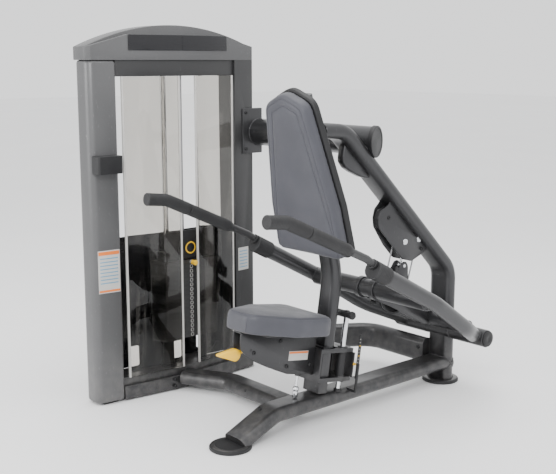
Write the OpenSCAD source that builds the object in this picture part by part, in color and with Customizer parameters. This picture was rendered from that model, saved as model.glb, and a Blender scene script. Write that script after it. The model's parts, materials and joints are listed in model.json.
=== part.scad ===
// Seated dip machine: weight tower, floor frame, back rest, sliding seat and a rear-hinged press arm.
// Modelled about the seat's centreline and the rear post, then moved so that the origin lies at the
// middle of the footprint, on the floor. The sitter faces -Y, and the tower stands on the -X side.

/* [Tower] */
// Width of the weight tower along the machine
tower_w = 810; // [780:1:840]
// Depth of the tower at its middle
tower_d = 180; // [170:1:190]
// Height of the tower's pillars
pillar_h = 1360; // [1340:1:1380]
// Face width of one pillar
pillar_w = 118; // [105:1:125]
// Slope of the tower's shallow front faces, degrees
face_slope = 5.6; // [4:0.1:6]

/* [Weight stack] */
// Number of plates that stay down
plates_down = 16; // [10:1:16]
// Thickness of one weight plate
plate_t = 19; // [18:0.5:19]
// Width of a weight plate along the machine
plate_w = 262; // [250:1:270]
// Depth of a weight plate
plate_d = 108; // [100:1:110]

/* [Frame] */
// Wide side of the flat-oval frame tube
oval_w = 115; // [110:1:116]
// Narrow side of the flat-oval frame tube
oval_t = 57; // [54:1:58]
// Diameter of the round cross tube
cross_d = 114; // [110:0.5:116]
// Diameter of the round floor feet
foot_d = 154; // [150:1:158]

/* [Seat and back] */
// Slope of the seat and its guide rods, degrees
seat_tilt = 9; // [8:0.5:10]
// Thickness of the seat pad
seat_t = 74; // [66:1:76]
// Thickness of the back pad
back_t = 50; // [44:1:54]

/* [Press arm] */
// Diameter of the arm tubes
arm_d = 60; // [56:1:64]
// Diameter of the pivot shaft
shaft_d = 30; // [26:1:32]
// Diameter of the hand grips
grip_d = 46; // [42:1:48]

/* [Hidden] */
$fn = 48;

// Outermost point of the grips, which with the tower's rear gives the footprint's width
grip_reach = 356.3;

// Colours
graphite = [0.22, 0.22, 0.23];
pillar_grey = [0.40, 0.40, 0.41];
black = [0.06, 0.06, 0.065];
chrome = [0.82, 0.83, 0.85];
pad_grey = [0.37, 0.37, 0.41];
yellow = [0.95, 0.78, 0.10];
clear = [0.85, 0.88, 0.90, 0.35];
pale = [0.85, 0.85, 0.83];

// Tower: middle of its width and of its depth
tower_x = -715;
tower_y = -890;
half_w = tower_w / 2;
floor_gap = 8;
corner_cut = 15;
band_z = 1298;
inner_z = 62;
strip_z = 95;
arch_rise = 137;

// Weight stack, around its lifting cable
stack_x = -712;
stack_y = -838;
rod_gap = 190;
rod_r = 11;
stack_z = 208.5;
plate_pitch = plate_t + 0.6;
lifted_z = stack_z + plates_down * plate_pitch;
head_z = lifted_z + plate_t;
head_h = 38;
cover_h = 132;

// Cables and pulleys
cable_r = 3.2;
groove_r = 40;
arm_groove_r = 69;
loop_r = 34.5;
exit_r = 25;
guide_bend = 20;
axle_r = 8;
pin_r = 5;
pulley_t = 22;
cable_gap = 0.4;

// Frame centrelines in the plane of symmetry
rail_z = 85;
leg_y = -965;
foot_y = -1152;
post_bend_z = 496;
slope_deg = 44;
shoulder_z = 1100;
shoulder_y = -(shoulder_z - post_bend_z) * sin(90 - slope_deg) / cos(90 - slope_deg);
cross_y = -470;
cross_z = 1055;
cap_x = 47;
cap_r = cross_d / 2 + 4;
mitre = 24;
flange_x = -652;

// Seat slide: its foot on the rail, and its line of travel
slide_foot = [0, -660, 112];
seat_rod_x = 38;
seat_rod_r = 10;
rod_top = 296;
column_w = 88;

// Press arm: pivot line and arm centreline on the +X side
pivot_y = 0;
pivot_z = 233;
hub_r = 36;
hub_in = 63;
hub_out = 240;
run_gap = 0.05;
lap = 0.6;
swell = 0.05;
arm_path = [[175, 0, 233], [285, -190, 318], [312, -420, 464], [320, -735, 630]];
front_tube = [-450, 475];
rear_tube = [-98, 296];

// Three strands of cable run from the housing to the arm pulley, leaning forward as they drop
strand_dir = [0, -0.3, -0.954];
strand_side = [0, -0.954, 0.3];
rear_strand = [0, -202, 546];
arm_wheel = rear_strand + 150 * strand_dir + arm_groove_r * strand_side;
top_wheel = rear_strand - 70 * strand_dir + (2 * arm_groove_r - loop_r) * strand_side;
thimble_at = arm_wheel - (arm_groove_r + 66) * strand_dir;
slope_entry = [0, -169, 651];
strand_start = 26;

// ---- helpers -------------------------------------------------------------------------------

function unit(v) = v / norm(v);
function heading(p, i) = unit(p[i + 1] - p[i]);
function across(d) = unit(cross(d, abs(d[2]) < 0.9 ? [0, 0, 1] : [1, 0, 0]));
function turn(p, i) = acos(heading(p, i - 1) * heading(p, i));
function at(rb, i) = is_list(rb) ? rb[i] : rb;
function trim(p, i, rb) = i == 0 || i == len(p) - 1 ? 0 : at(rb, i) * tan(turn(p, i) / 2);
function bend_axis(p, i) = unit(cross(heading(p, i - 1), heading(p, i)));
// A leg's cross direction, shared with the bend after it, or with the one before the last leg
function leg_side(p, i) = len(p) < 3 ? across(heading(p, 0)) : bend_axis(p, min(i + 1, len(p) - 2));
function bend_start(p, i, rb) = p[i] - heading(p, i - 1) * trim(p, i, rb);
function bend_centre(p, i, rb) =
    bend_start(p, i, rb) + at(rb, i) * cross(bend_axis(p, i), heading(p, i - 1));
// Half depth of the tower's plan at a distance along its width
function half_depth(along) = tower_d / 2 - abs(along) * tan(face_slope);

module basis(o, x, y, z)
    multmatrix([[x[0], y[0], z[0], o[0]], [x[1], y[1], z[1], o[1]], [x[2], y[2], z[2], o[2]],
                [0, 0, 0, 1]]) children();

// Draws children with their Z along a direction
module along(o, d) basis(o, across(d), cross(d, across(d)), d) children();

// A round section's seam is turned clear of the plane of the bends
module oval(w, t)
    if (w == t) rotate(37) circle(d = w);
    else if (w > t) union() {
        square([w - t, t], center = true);
        for (s = [-1, 1]) translate([s * (w - t) / 2, 0]) circle(d = t);
    }
    else rotate(90) oval(t, w);

// A tube along a path with round bends: deep in the plane of its bends, wide across it.
// Each bend is a hair fatter than the legs, which run a little way into it.
module tube(path, rb, deep, wide, side = undef) {
    last = len(path) - 2;
    for (i = [0 : last]) {
        d = heading(path, i);
        x = is_undef(side) ? leg_side(path, i) : side;
        start = trim(path, i, rb) - (i > 0 ? lap : 0);
        run = norm(path[i + 1] - path[i]) - start - trim(path, i + 1, rb) + (i < last ? lap : 0);
        if (run > 2.5 * lap) basis(path[i] + d * start, x, cross(d, x), d)
            linear_extrude(run) oval(wide, deep);
    }
    for (i = [1 : 1 : last]) {
        m = bend_axis(path, i);
        d = heading(path, i - 1);
        basis(bend_centre(path, i, rb), cross(d, m), d, m) rotate_extrude(angle = turn(path, i))
            translate([at(rb, i), 0]) oval(deep + 2 * swell, wide + 2 * swell);
    }
}

module rod(r, h, o, d) along(o, d) cylinder(r = r, h = h);

// A grooved wheel on its own axle hole, with its axis along Z
module wheel(r, bore) difference() {
    cylinder(r = r + 7, h = pulley_t, center = true);
    cylinder(r = bore, h = pulley_t + 1, center = true);
    rotate_extrude() translate([r, 0]) circle(r = cable_r + cable_gap, $fn = 32);
    rotate_extrude() translate([r, -cable_r - cable_gap])
        square([20, 2 * (cable_r + cable_gap)]);
}

module box(from, to) translate(from) cube(to - from);

module block(from, to, r) translate([from[0], from[1], from[2]]) linear_extrude(to[2] - from[2])
    rounded(to[0] - from[0], to[1] - from[1], r);

// A rectangle with round corners, drawn from its lower left corner
module rounded(w, h, r) {
    translate([r, 0]) square([w - 2 * r, h]);
    translate([0, r]) square([w, h - 2 * r]);
    for (x = [r, w - r], y = [r, h - r]) translate([x, y]) circle(r = r);
}

// A YZ outline made into a slab of a given thickness, centred on an X
module slab(x, t, points) translate([x - t / 2, 0, 0]) rotate([90, 0, 90])
    linear_extrude(t) polygon(points);

module hex_bolt(o, d, r = 8) {
    rod(r, 7, o, d);
    rod(r * 0.62, 10, o, d);
}

// ---- tower ---------------------------------------------------------------------------------

// Half depth of the plan with its cut outer corners
function plan_depth(m) = abs(m) > half_w - corner_cut
    ? half_depth(half_w - corner_cut) - (abs(m) - half_w + corner_cut) / corner_cut * 20
    : half_depth(m);

// Plan of the tower between two distances along its width, less a skin on every side
module tower_plan(a, b, skin = 0) {
    flat = half_w - corner_cut;
    marks = concat([a], [for (m = [-flat, 0, flat]) if (m > a && m < b) m], [b]);
    translate([tower_x, tower_y]) polygon(concat(
        [for (m = marks) [plan_depth(m) - skin, m]],
        [for (i = [len(marks) - 1 : -1 : 0]) [skin - plan_depth(marks[i]), marks[i]]]));
}

module pillar(a, b) color(pillar_grey)
    translate([0, 0, floor_gap]) linear_extrude(pillar_h - floor_gap) tower_plan(a, b);

module front_pillar() pillar(-half_w, -half_w + pillar_w);

// The rear pillar leaves room for the falling cable and its wheels
module rear_pillar() difference() {
    pillar(half_w - pillar_w, half_w);
    cable_room(12);
    for (i = [2, 3]) wheel_pocket(i);
}

module bottom_rail() color(graphite) translate([0, 0, floor_gap])
    linear_extrude(inner_z - floor_gap) tower_plan(-half_w + pillar_w, half_w - pillar_w);

// Base strip inside the foot, band under the header, and the beam that carries the top wheels
module inner_bands() color(black) {
    translate([0, 0, inner_z]) linear_extrude(strip_z - inner_z)
        tower_plan(-half_w + pillar_w, half_w - pillar_w, 14);
    translate([0, 0, band_z]) linear_extrude(pillar_h - band_z) difference() {
        tower_plan(-half_w + pillar_w, half_w - pillar_w, 8);
        tower_plan(-half_w + pillar_w + 20, half_w - pillar_w - 20, 14);
    }
    difference() {
        box([tower_x - 50, tower_y - half_w + pillar_w, band_z + 30],
            [tower_x + 30, tower_y + half_w - pillar_w, band_z + 44]);
        translate([stack_x, stack_y, band_z]) cylinder(r = 10, h = 60);
        for (i = [1, 2]) wheel_pocket(i);
    }
}

// Side outline of the header's front shell, from one end of the tower to the other
module header_front() color(pillar_grey) intersection() {
    translate([0, 0, pillar_h]) linear_extrude(120) difference() {
        tower_plan(-half_w, half_w);
        translate([tower_x - 200, tower_y - half_w - 1]) square([230, tower_w + 2]);
    }
    slab(tower_x, 400, [[tower_y - half_w, pillar_h], [tower_y - half_w, pillar_h + 50],
        [tower_y - half_w + 170, pillar_h + 97], [tower_y + half_w - 190, pillar_h + 97],
        [tower_y + half_w, pillar_h + 52], [tower_y + half_w, pillar_h]]);
}

arch_r = (half_w * half_w + (arch_rise - 50) * (arch_rise - 50)) / (2 * (arch_rise - 50));
module arch_outline(inset) intersection() {
    translate([tower_y - half_w + inset, pillar_h])
        square([tower_w - 2 * inset, arch_rise - inset]);
    translate([tower_y, pillar_h + arch_rise - arch_r - inset]) circle(r = arch_r, $fn = 180);
}

module header_arch() color(pillar_grey) difference() {
    translate([tower_x - 52, 0, 0]) rotate([90, 0, 90]) linear_extrude(81.7) arch_outline(0);
    translate([tower_x - 47, 0, -1]) rotate([90, 0, 90]) linear_extrude(71) arch_outline(9);
}

placard_y = [-1125, -649];
module placard() color(black) for (s = [-1, 1]) {
    reach = s < 0 ? tower_y - placard_y[0] : placard_y[1] - tower_y;
    translate([tower_x + tower_d / 2, tower_y, 1397]) rotate([0, 0, s > 0 ? face_slope : -face_slope])
        translate([0.2, s < 0 ? -reach : 0, 0]) cube([4, reach, 60]);
}

// A clear panel that follows the sloping face between two distances along the width
module shield(a, b) color(clear) translate([0, 0, strip_z + 0.5])
    linear_extrude(band_z - strip_z - 1) face_strip(a, b, 4, 5);

module face_strip(a, b, back, thick) translate([tower_x, tower_y]) polygon([
    [half_depth(a) - back, a], [half_depth(b) - back, b],
    [half_depth(b) - back - thick, b], [half_depth(a) - back - thick, a]]);

shield_edges = [[-257, -18], [76, 270]];
module front_shield() shield(shield_edges[0][0], shield_edges[0][1]);
module rear_shield() shield(shield_edges[1][0], shield_edges[1][1]);

module shield_trims() color(pale) translate([0, 0, strip_z + 0.5])
    linear_extrude(band_z - strip_z - 1) for (e = shield_edges) {
        face_strip(e[0] - 8, e[0] - 0.3, 2, 9);
        face_strip(e[1] + 0.3, e[1] + 8, 2, 9);
    }

panel_top = 650;
window = [60, 84];
module infill_panel() color(black) difference() {
    translate([tower_x - 62, tower_y - half_w + pillar_w, strip_z])
        cube([3, tower_w - 2 * pillar_w, panel_top - strip_z]);
    for (k = [-1 : 1]) translate([tower_x - 70, tower_y + k * 170 + 15 - window[0] / 2, 112])
        rotate([90, 0, 90]) linear_extrude(20) rounded(window[0], window[1], 8);
}

module at_rods() for (s = [-1, 1]) translate([stack_x, stack_y + s * rod_gap / 2, 0]) children();

module guide_rods() color(chrome) at_rods()
    translate([0, 0, strip_z]) cylinder(r = rod_r, h = band_z - strip_z + 30);

module stack_stand() color(black) at_rods() translate([0, 0, strip_z]) difference() {
    union() {
        cylinder(r = 22, h = stack_z - strip_z - 0.5);
        cylinder(r = 30, h = 12);
    }
    translate([0, 0, -1]) cylinder(r = rod_r + 0.3, h = 200);
}

module stack_plate(z) translate([0, 0, z]) difference() {
    translate([stack_x - plate_d / 2, stack_y - plate_w / 2, 0])
        linear_extrude(plate_t) rounded(plate_d, plate_w, 8);
    at_rods() translate([0, 0, -1]) cylinder(r = rod_r + 1, h = plate_t + 2);
    translate([stack_x, stack_y, -1]) cylinder(r = 14, h = plate_t + 2);
    rod(pin_r + 0.6, 90, [stack_x, stack_y, plate_t / 2], [1, 0, 0]);
}

module stack_plates() color(graphite) for (k = [0 : plates_down - 1])
    stack_plate(stack_z + k * plate_pitch);

module rubber_feet() color(black)
    for (a = [-half_w + 30, half_w - pillar_w + 20]) translate([tower_x - 40, tower_y + a, 0])
        cube([80, pillar_w - 50, floor_gap]);

module accessory_box() color(black) difference() {
    block([tower_x + 46, -1290, 932], [tower_x + 104, -1182, 1000], 10);
    translate([0, 0, 931]) linear_extrude(80) offset(delta = 0.3) tower_plan(-half_w, 0);
}

// Plain plates on the pillars' faces
module label_plates() color(pale) {
    translate([0, 0, 460]) linear_extrude(170) face_strip(-388, -296, -1.5, 1.3);
    translate([0, 0, 458]) linear_extrude(100) face_strip(300, 360, -1.5, 1.3);
}

// ---- cable route and wheels -----------------------------------------------------------------

drop_x = -742;
drop_y = -510;
top_run_z = 1410;
tube_run = [-500, 1022];
cable_path = [
    [stack_x, stack_y, top_run_z - groove_r], [stack_x, stack_y, top_run_z], [drop_x, drop_y, top_run_z],
    [drop_x, drop_y, tube_run[1]], [0, tube_run[0], tube_run[1]], slope_entry,
    slope_entry + (strand_start - 0.5) * strand_dir];

cable_bends = [0, groove_r, groove_r, groove_r, guide_bend, exit_r, 0];

module cable_room(r) tube(cable_path, cable_bends, 2 * r, 2 * r);

module wheel_axis(path, i, rb) along(bend_centre(path, i, rb), bend_axis(path, i)) children();
module wheel_pocket(i) wheel_axis(cable_path, i, cable_bends)
    cylinder(r = at(cable_bends, i) + 12, h = pulley_t + 6, center = true);
module cable_wheel(i) color(black) wheel_axis(cable_path, i, cable_bends)
    wheel(at(cable_bends, i), axle_r + run_gap);

module tower_pulley() cable_wheel(1);
module corner_pulley() cable_wheel(2);
module drop_pulley() cable_wheel(3);
module housing_pulley() cable_wheel(5);
module return_pulley() color(black) rotate_to_x(top_wheel) wheel(loop_r, axle_r + run_gap);
module arm_pulley() color(black) rotate_to_x(arm_wheel) wheel(arm_groove_r, axle_r + run_gap);

// Draws children with their Z along X, at a point
module rotate_to_x(o) translate(o) rotate([0, 90, 0]) children();

// Axles of the fixed wheels, and the plates that hold the two top wheels on their beam
module pulley_axles() color(chrome) {
    for (i = [1, 2]) wheel_axis(cable_path, i, cable_bends) {
        cylinder(r = axle_r, h = pulley_t + 22, center = true);
        for (s = [-1, 1]) translate([0, 0, s * (pulley_t / 2 + 5.5)])
            difference() {
                cylinder(r = 22, h = 5, center = true);
                cylinder(r = axle_r, h = 7, center = true);
            }
    }
    wheel_axis(cable_path, 3, cable_bends) cylinder(r = axle_r, h = 34, center = true);
    wheel_axis(cable_path, 5, cable_bends)
        cylinder(r = axle_r, h = 2 * housing_half, center = true);
    rotate_to_x(top_wheel) cylinder(r = axle_r, h = 2 * housing_half, center = true);
}

// The lifting cable above the weight stack, which shortens as the stack rises
module stack_cable() color(chrome) translate([stack_x, stack_y, head_z + head_h + 0.3])
    cylinder(r = cable_r, h = top_run_z - groove_r - head_z - head_h - 0.6);

// The cable from the top wheel to the housing
module frame_cable() color(chrome) tube(cable_path, cable_bends, 2 * cable_r, 2 * cable_r);

module strand(from, to) rod(cable_r, norm(to - from), from, unit(to - from));
module half_turn(o, r, d) basis(o, strand_side, d, cross(strand_side, d))
    rotate_extrude(angle = 180) translate([r, 0]) circle(r = cable_r + swell);

// The three strands, which lengthen as the arm is pressed down, with their ferrule and thimble
module arm_cable() color(chrome) {
    reach = lap * strand_dir;
    strand(slope_entry + strand_start * strand_dir, arm_wheel - arm_groove_r * strand_side + reach);
    half_turn(arm_wheel, arm_groove_r, strand_dir);
    strand(arm_wheel + arm_groove_r * strand_side + reach, top_wheel + loop_r * strand_side - reach);
    half_turn(top_wheel, loop_r, -strand_dir);
    strand(top_wheel - loop_r * strand_side - reach, thimble_at + reach);
    rod(5.5, 26, thimble_at - 27 * strand_dir, strand_dir);
    rotate_to_x(thimble_at + 9 * strand_dir) rotate_extrude() translate([10, 0]) circle(r = 2.4);
}

// ---- floor frame ----------------------------------------------------------------------------

module above_floor() intersection() {
    children();
    translate([-2000, -2000, 2]) cube([4000, 4000, 2000]);
}

module base_tube() color(graphite) tube([[tower_x + tower_d / 2 - 15, -893, 50],
    [-450, -795, 50], [-oval_w / 2 + 8, -795, 50]], 90, oval_w - 15, oval_t, [0, 0, 1]);

module main_rail() color(graphite) above_floor() tube([[0, 20, rail_z], [0, leg_y, rail_z],
    [0, foot_y + 22, 14]], 90, oval_t, oval_w, [1, 0, 0]);

module floor_feet() for (y = [pivot_y, foot_y]) translate([0, y, 0]) color(black) {
    cylinder(d = foot_d, h = 11);
    translate([0, 0, 11]) cylinder(d = foot_d - 12, h = 2);
}

// The rear post runs up, leans forward over the press arm and ends behind the back rest
module upper_frame() color(graphite) difference() {
    union() {
        tube([[0, 0, 13], [0, 0, post_bend_z], [0, shoulder_y, shoulder_z],
              [0, -745, shoulder_z + 8]], 110, oval_t, oval_w, [1, 0, 0]);
        // stiffening hump under the round cross tube
        slab(0, 34, [[-606, 1075], [-621, 1006], [-622, 988], [-602, 964], [-573, 946], [-520, 922],
            [-475, 915], [-452, 930], [-560, 1060]]);
    }
    rotate_to_x([0, cross_y, cross_z]) cylinder(d = cross_d - 1, h = 300, center = true);
    rod(cap_r + 0.2, 100, [cap_x - 60, cross_y, cross_z], [1, 0, 0]);
    rotate_to_x([0, pivot_y, pivot_z]) cylinder(r = hub_r - 2, h = 300, center = true);
    cable_room(7);
    wheel_pocket(5);
}

// Everything beyond the cross tube's slanted end face, or beyond a plane some way behind it
module beyond(depth) translate([cap_x, cross_y, cross_z]) rotate(mitre)
    translate([-depth, -200, -200]) cube(400);

module cross_tube() color(graphite) difference() {
    union() {
        rod(cross_d / 2, cap_x + 60 - flange_x, [flange_x, cross_y, cross_z], [1, 0, 0]);
        box([flange_x - 10, -562, 965], [flange_x, -455, 1158]);
    }
    rod(cross_d / 2 - 3, 900, [flange_x - 20, cross_y, cross_z], [1, 0, 0]);
    beyond(10);
    cable_room(7);
    wheel_pocket(3);
    linear_extrude(1300) tower_plan(0, half_w);
}

module tube_cap() color(black) difference() {
    intersection() {
        rod(cap_r, 160, [cap_x - 90, cross_y, cross_z], [1, 0, 0]);
        beyond(20);
    }
    beyond(0);
    difference() {
        rod(cross_d / 2 + 0.1, 200, [cap_x - 120, cross_y, cross_z], [1, 0, 0]);
        beyond(9.9);
    }
}

housing_half = 28;
housing_plate = 5;
housing_outline = [[-365, 822], [-381, 801], [-404, 793], [-421, 781], [-433, 766], [-438, 749],
                   [-437, 730], [-429, 713], [-350, 632], [-291, 575], [-266, 562], [-236, 558],
                   [-206, 565], [-177, 579], [-138, 592], [-112, 612], [-150, 640], [-245, 712]];
module pulley_housing() {
    color(graphite) for (s = [-1, 1]) difference() {
        slab(s * (housing_half - housing_plate / 2), housing_plate, housing_outline);
        rotate_to_x(top_wheel) cylinder(r = axle_r, h = 100, center = true);
        wheel_axis(cable_path, 5, cable_bends) cylinder(r = axle_r, h = 100, center = true);
    }
    color(black) slab(0, 2 * (housing_half - housing_plate), [[-378, 793], [-400, 785], [-415, 775],
        [-426, 762], [-430, 748], [-429, 732], [-419, 715], [-429, 713], [-437, 730], [-438, 749],
        [-433, 766], [-421, 781], [-404, 793], [-381, 801]]);
}

brace_y = -36;
brace_z = 127;
module rear_brace() color(graphite) tube([[-48, brace_y, brace_z], [-380, brace_y, brace_z],
    [tower_x + 27, -530, brace_z]], 120, oval_t, oval_w - 5, [0, 0, 1]);

module bolts() color(black) {
    for (y = [-62, 62], z = [22, 50])
        hex_bolt([tower_x + half_depth(62) + 0.2, tower_y + y, z], [1, 0, 0], 7);
    for (z = [985, 1140]) hex_bolt([flange_x, -545, z], [1, 0, 0], 6);
    hex_bolt([-74, brace_y - oval_t / 2, brace_z + 14], [0, -1, 0], 8);
    hex_bolt([-300, -795 - 40, 60], [0, -0.7, 0.714], 7);
    for (p = [[-378, 752], [-178, 602]]) hex_bolt([housing_half, p[0], p[1]], [1, 0, 0], 6);
}

// ---- back rest and seat ----------------------------------------------------------------------

post_path = [[0, -700, 282], [0, -656, 560], [0, -816.5, 1238.6]];
back_dir = unit(post_path[2] - post_path[1]);
back_tilt = atan2(-back_dir[1], back_dir[2]);

module back_post() color(graphite) tube(post_path, 300, 50, 90, [1, 0, 0]);

// Local frame of the back rest: Z up the post's front face, -Y towards the sitter
module in_back() translate(post_path[1] + 60 * back_dir) rotate([back_tilt, 0, 0])
    translate([0, -25, 0]) children();

// Outline of the back pad seen from the front: X, Z and radius of its corners on one side
back_corners = [[144, 96, 28], [108, 240, 60], [78, 604, 30], [0, 602, 60]];
board_t = 24;
module back_outline(grow) hull() for (s = [-1, 1], c = back_corners)
    translate([s * c[0], c[1]]) circle(r = c[2] + grow, $fn = 32);

module back_board() color(black) in_back() translate([0, -2, 0]) rotate([90, 0, 0])
    linear_extrude(board_t) back_outline(8);
module backrest_pad() color(pad_grey) in_back() translate([0, -2.3 - board_t, 0]) rotate([90, 0, 0])
    linear_extrude(back_t) back_outline(0);

module in_seat() translate(slide_foot) rotate([-seat_tilt, 0, 0]) children();

column_y = [-106, -62];
module seat_column() color(graphite) in_seat()
    box([-column_w / 2, column_y[0], -8], [column_w / 2, column_y[1], 172]);

// Chrome guide rods with their top bar and feet
module seat_rods() in_seat() {
    for (s = [-1, 1]) translate([s * seat_rod_x, 0, 0]) {
        color(chrome) translate([0, 0, 8]) cylinder(r = seat_rod_r, h = rod_top - 8);
        color(black) translate([0, 0, -6]) cylinder(r = 15, h = 14);
    }
    color(black) difference() {
        union() {
            translate([-74, 0, rod_top]) rotate([0, 90, 0]) cylinder(r = 14, h = 148);
            box([-20, -44, rod_top - 9], [20, 0, rod_top + 9]);
        }
        for (s = [-1, 1]) translate([s * seat_rod_x, 0, 0]) cylinder(r = seat_rod_r, h = rod_top);
    }
}

scale_x = 78;
module scale_strip() color(black) in_seat() {
    translate([scale_x, 44, 50]) rotate([90, 0, 90]) linear_extrude(3) rounded(14, 175, 6);
    box([scale_x + 3, 46, 8], [scale_x + 8, 56, 110]);
    box([30, 46, -2], [scale_x + 8, 56, 8]);
}

// Seat carriage: two flanges that run on the rods, and bars that reach round the column
carriage_z = [40, 168];
carriage_x = 52;
carriage_y = [-130, 40];
flange_t = 16;
module at_flanges() for (z = [carriage_z[0], carriage_z[1] - flange_t]) translate([0, 0, z]) children();
module seat_carriage() color(graphite) in_seat() difference() {
    union() {
        at_flanges() {
            box([-carriage_x, -30, 0], [carriage_x, carriage_y[1], flange_t]);
            for (x = [-carriage_x - 6, carriage_x])
                box([x, carriage_y[0], 0], [x + 6, carriage_y[1], flange_t]);
        }
        box([-carriage_x - 6, carriage_y[0], carriage_z[0]],
            [carriage_x + 6, carriage_y[0] + 8, carriage_z[1]]);
        box([-carriage_x, carriage_y[1] - 6, carriage_z[0] + flange_t],
            [carriage_x + 18, carriage_y[1], carriage_z[1] - flange_t]);
        for (s = [-1, 1]) rod(seat_rod_r + 8, carriage_z[1] - carriage_z[0],
            [s * seat_rod_x, 0, carriage_z[0]], [0, 0, 1]);
    }
    for (s = [-1, 1]) rod(seat_rod_r + run_gap, 400, [s * seat_rod_x, 0, 0], [0, 0, 1]);
}

// Two cheek plates under the pad, close together, with the lever's pin between them
shroud_outline = [[-130, 60], [-130, 236], [-502, 236], [-501, 208], [-494, 172], [-466, 152],
                  [-387, 116], [-322, 92], [-261, 74], [-196, 69], [-150, 70]];
cheek_x = 21;
lever_pivot = [0, -448, 170];
module seat_shroud() in_seat() {
    color(graphite) {
        for (s = [-1, 1]) slab(s * cheek_x, 6, shroud_outline);
        box([-90, -440, 230], [90, -150, 236]);
        box([-cheek_x, -500, 230], [cheek_x, -430, 236]);
    }
    color(chrome) rod(5, 2 * cheek_x, lever_pivot - [cheek_x, 0, 0], [1, 0, 0]);
}

// Seat outline seen from above: X, Y and radius of its corners on one side
seat_corners = [[96, -212, 52], [78, -330, 70], [30, -450, 60]];
module seat_pad() color(pad_grey) in_seat() translate([0, 0, 236.3]) linear_extrude(seat_t)
    hull() for (s = [-1, 1], c = seat_corners) translate([s * c[0], c[1]]) circle(r = c[2], $fn = 32);

gas_y = -184;
module gas_rod() color(chrome) in_seat() {
    translate([0, gas_y, 16]) cylinder(r = 5, h = 162);
    translate([0, gas_y, 8]) sphere(r = 12);
    translate([0, gas_y, -26]) cylinder(r = 9, h = 24);
}

module gas_body() color(black) in_seat() translate([0, gas_y, 0]) difference() {
    translate([0, 0, 58]) cylinder(r = 12, h = 169.8);
    translate([0, 0, 57]) cylinder(r = 5 + run_gap, h = 162);
}

// A finger paddle, leaf shaped in side view, on a short arm
leaf_c = [-503, 152];
leaf_r = 22;
leaf_tip = 74;
module seat_lever() color(yellow) in_seat() difference() {
    union() {
        rotate_to_x(lever_pivot) cylinder(r = 10, h = 34, center = true);
        rod(7, 44, lever_pivot, unit([0, leaf_c[0], leaf_c[1]] - lever_pivot));
        slab(0, 26, concat([leaf_c - [leaf_tip, 0]],
            [for (a = [-105 : 15 : 105]) leaf_c + leaf_r * [cos(a), sin(a)]]));
    }
    rotate_to_x(lever_pivot) cylinder(r = 5 + run_gap, h = 80, center = true);
}

// ---- press arm -------------------------------------------------------------------------------

module pivot_shaft() {
    color(chrome) rod(shaft_d / 2, 2 * hub_out + 4, [-hub_out - 2, pivot_y, pivot_z], [1, 0, 0]);
    color(black) for (s = [-1, 1])
        rod(hub_r - 4, 7, [s > 0 ? hub_out + 2 : -hub_out - 9, pivot_y, pivot_z], [1, 0, 0]);
    color(graphite) difference() {
        rod(hub_r, 2 * hub_in, [-hub_in, pivot_y, pivot_z], [1, 0, 0]);
        rod(shaft_d / 2, 200, [-100, pivot_y, pivot_z], [1, 0, 0]);
    }
}

module arm_hubs() color(graphite) for (s = [-1, 1]) difference() {
    rod(hub_r, hub_out - hub_in - 1, [s > 0 ? hub_in + 1 : -hub_out, pivot_y, pivot_z], [1, 0, 0]);
    rod(shaft_d / 2 + run_gap, 600, [-300, pivot_y, pivot_z], [1, 0, 0]);
}

module arm() color(graphite) difference() {
    tube(arm_path, 250, arm_d, arm_d);
    rod(hub_r - 1, 600, [0, pivot_y, pivot_z], [1, 0, 0]);
}
module left_arm() arm();
module right_arm() mirror([1, 0, 0]) arm();

module arm_cross_tubes() color(graphite) {
    rod(35, 600, [-300, front_tube[0], front_tube[1]], [1, 0, 0]);
    rod(28, 440, [-220, rear_tube[0], rear_tube[1]], [1, 0, 0]);
    for (s = [-1, 1]) rod(42, 22, [s > 0 ? 28 : -50, front_tube[0], front_tube[1]], [1, 0, 0]);
}

spine_x = 21;
spine_outline = [[-482, 486], [-470, 508], [-440, 514], [-340, 500], [-300, 540], [-286, 560],
    [-262, 560], [-252, 540], [-250, 470], [-200, 420], [-75, 318], [-72, 286], [-98, 268],
    [-150, 280], [-330, 376], [-440, 430], [-478, 452]];
module arm_spine() {
    color(graphite) for (s = [-1, 1]) difference() {
        slab(s * (spine_x - 3), 6, spine_outline);
        rotate_to_x(arm_wheel) cylinder(r = axle_r, h = 80, center = true);
    }
    color(chrome) rotate_to_x(arm_wheel) cylinder(r = axle_r, h = 2 * spine_x + 10, center = true);
    color(chrome) rotate_to_x(thimble_at + 9 * strand_dir)
        cylinder(r = 7, h = 2 * spine_x - 12, center = true);
}

module arm_stop() {
    color(chrome) box([-14.9, -428, 408], [14.9, -390, 440]);
    color(black) for (z = [410, 432]) translate([0, -428.2, z]) rotate([90, 0, 0]) cylinder(r = 9, h = 12);
}

arm_end = arm_path[3];
arm_dir = unit(arm_path[3] - arm_path[2]);
arm_out = unit(cross(arm_dir, [0, 0, 1]));
arm_up = cross(arm_out, arm_dir);
// The handle's centreline, in the plane that holds the arm's axis and the vertical
grip_path = [[0, 14, 40], [0, 20, 90], [0, 2, 395], [0, -5, 500], [0, -34, 575]];
grip_start = 0.32;

// A rotating handle: sleeve on the arm's end, thin neck, and two grips, the last of which levels out
module handle() basis(arm_end, arm_out, arm_up, arm_dir * -1) mirror([0, 0, 1]) {
    color(black) difference() {
        translate([0, 0, -40]) cylinder(r = arm_d / 2 + 4, h = 86);
        translate([0, 0, -41]) cylinder(r = arm_d / 2 + 0.3, h = 41.4);
    }
    neck_run = grip_path[2] - grip_path[1];
    color(black) {
        tube([grip_path[0], grip_path[1], grip_path[2]], 40, 28, 28);
        rod(grip_d / 2 - 1, norm(neck_run) * (1 - grip_start),
            grip_path[1] + grip_start * neck_run, unit(neck_run));
        tube([grip_path[2], grip_path[3], grip_path[4]], 60, grip_d, grip_d);
    }
}
module left_handle() handle();
module right_handle() mirror([1, 0, 0]) handle();

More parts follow.
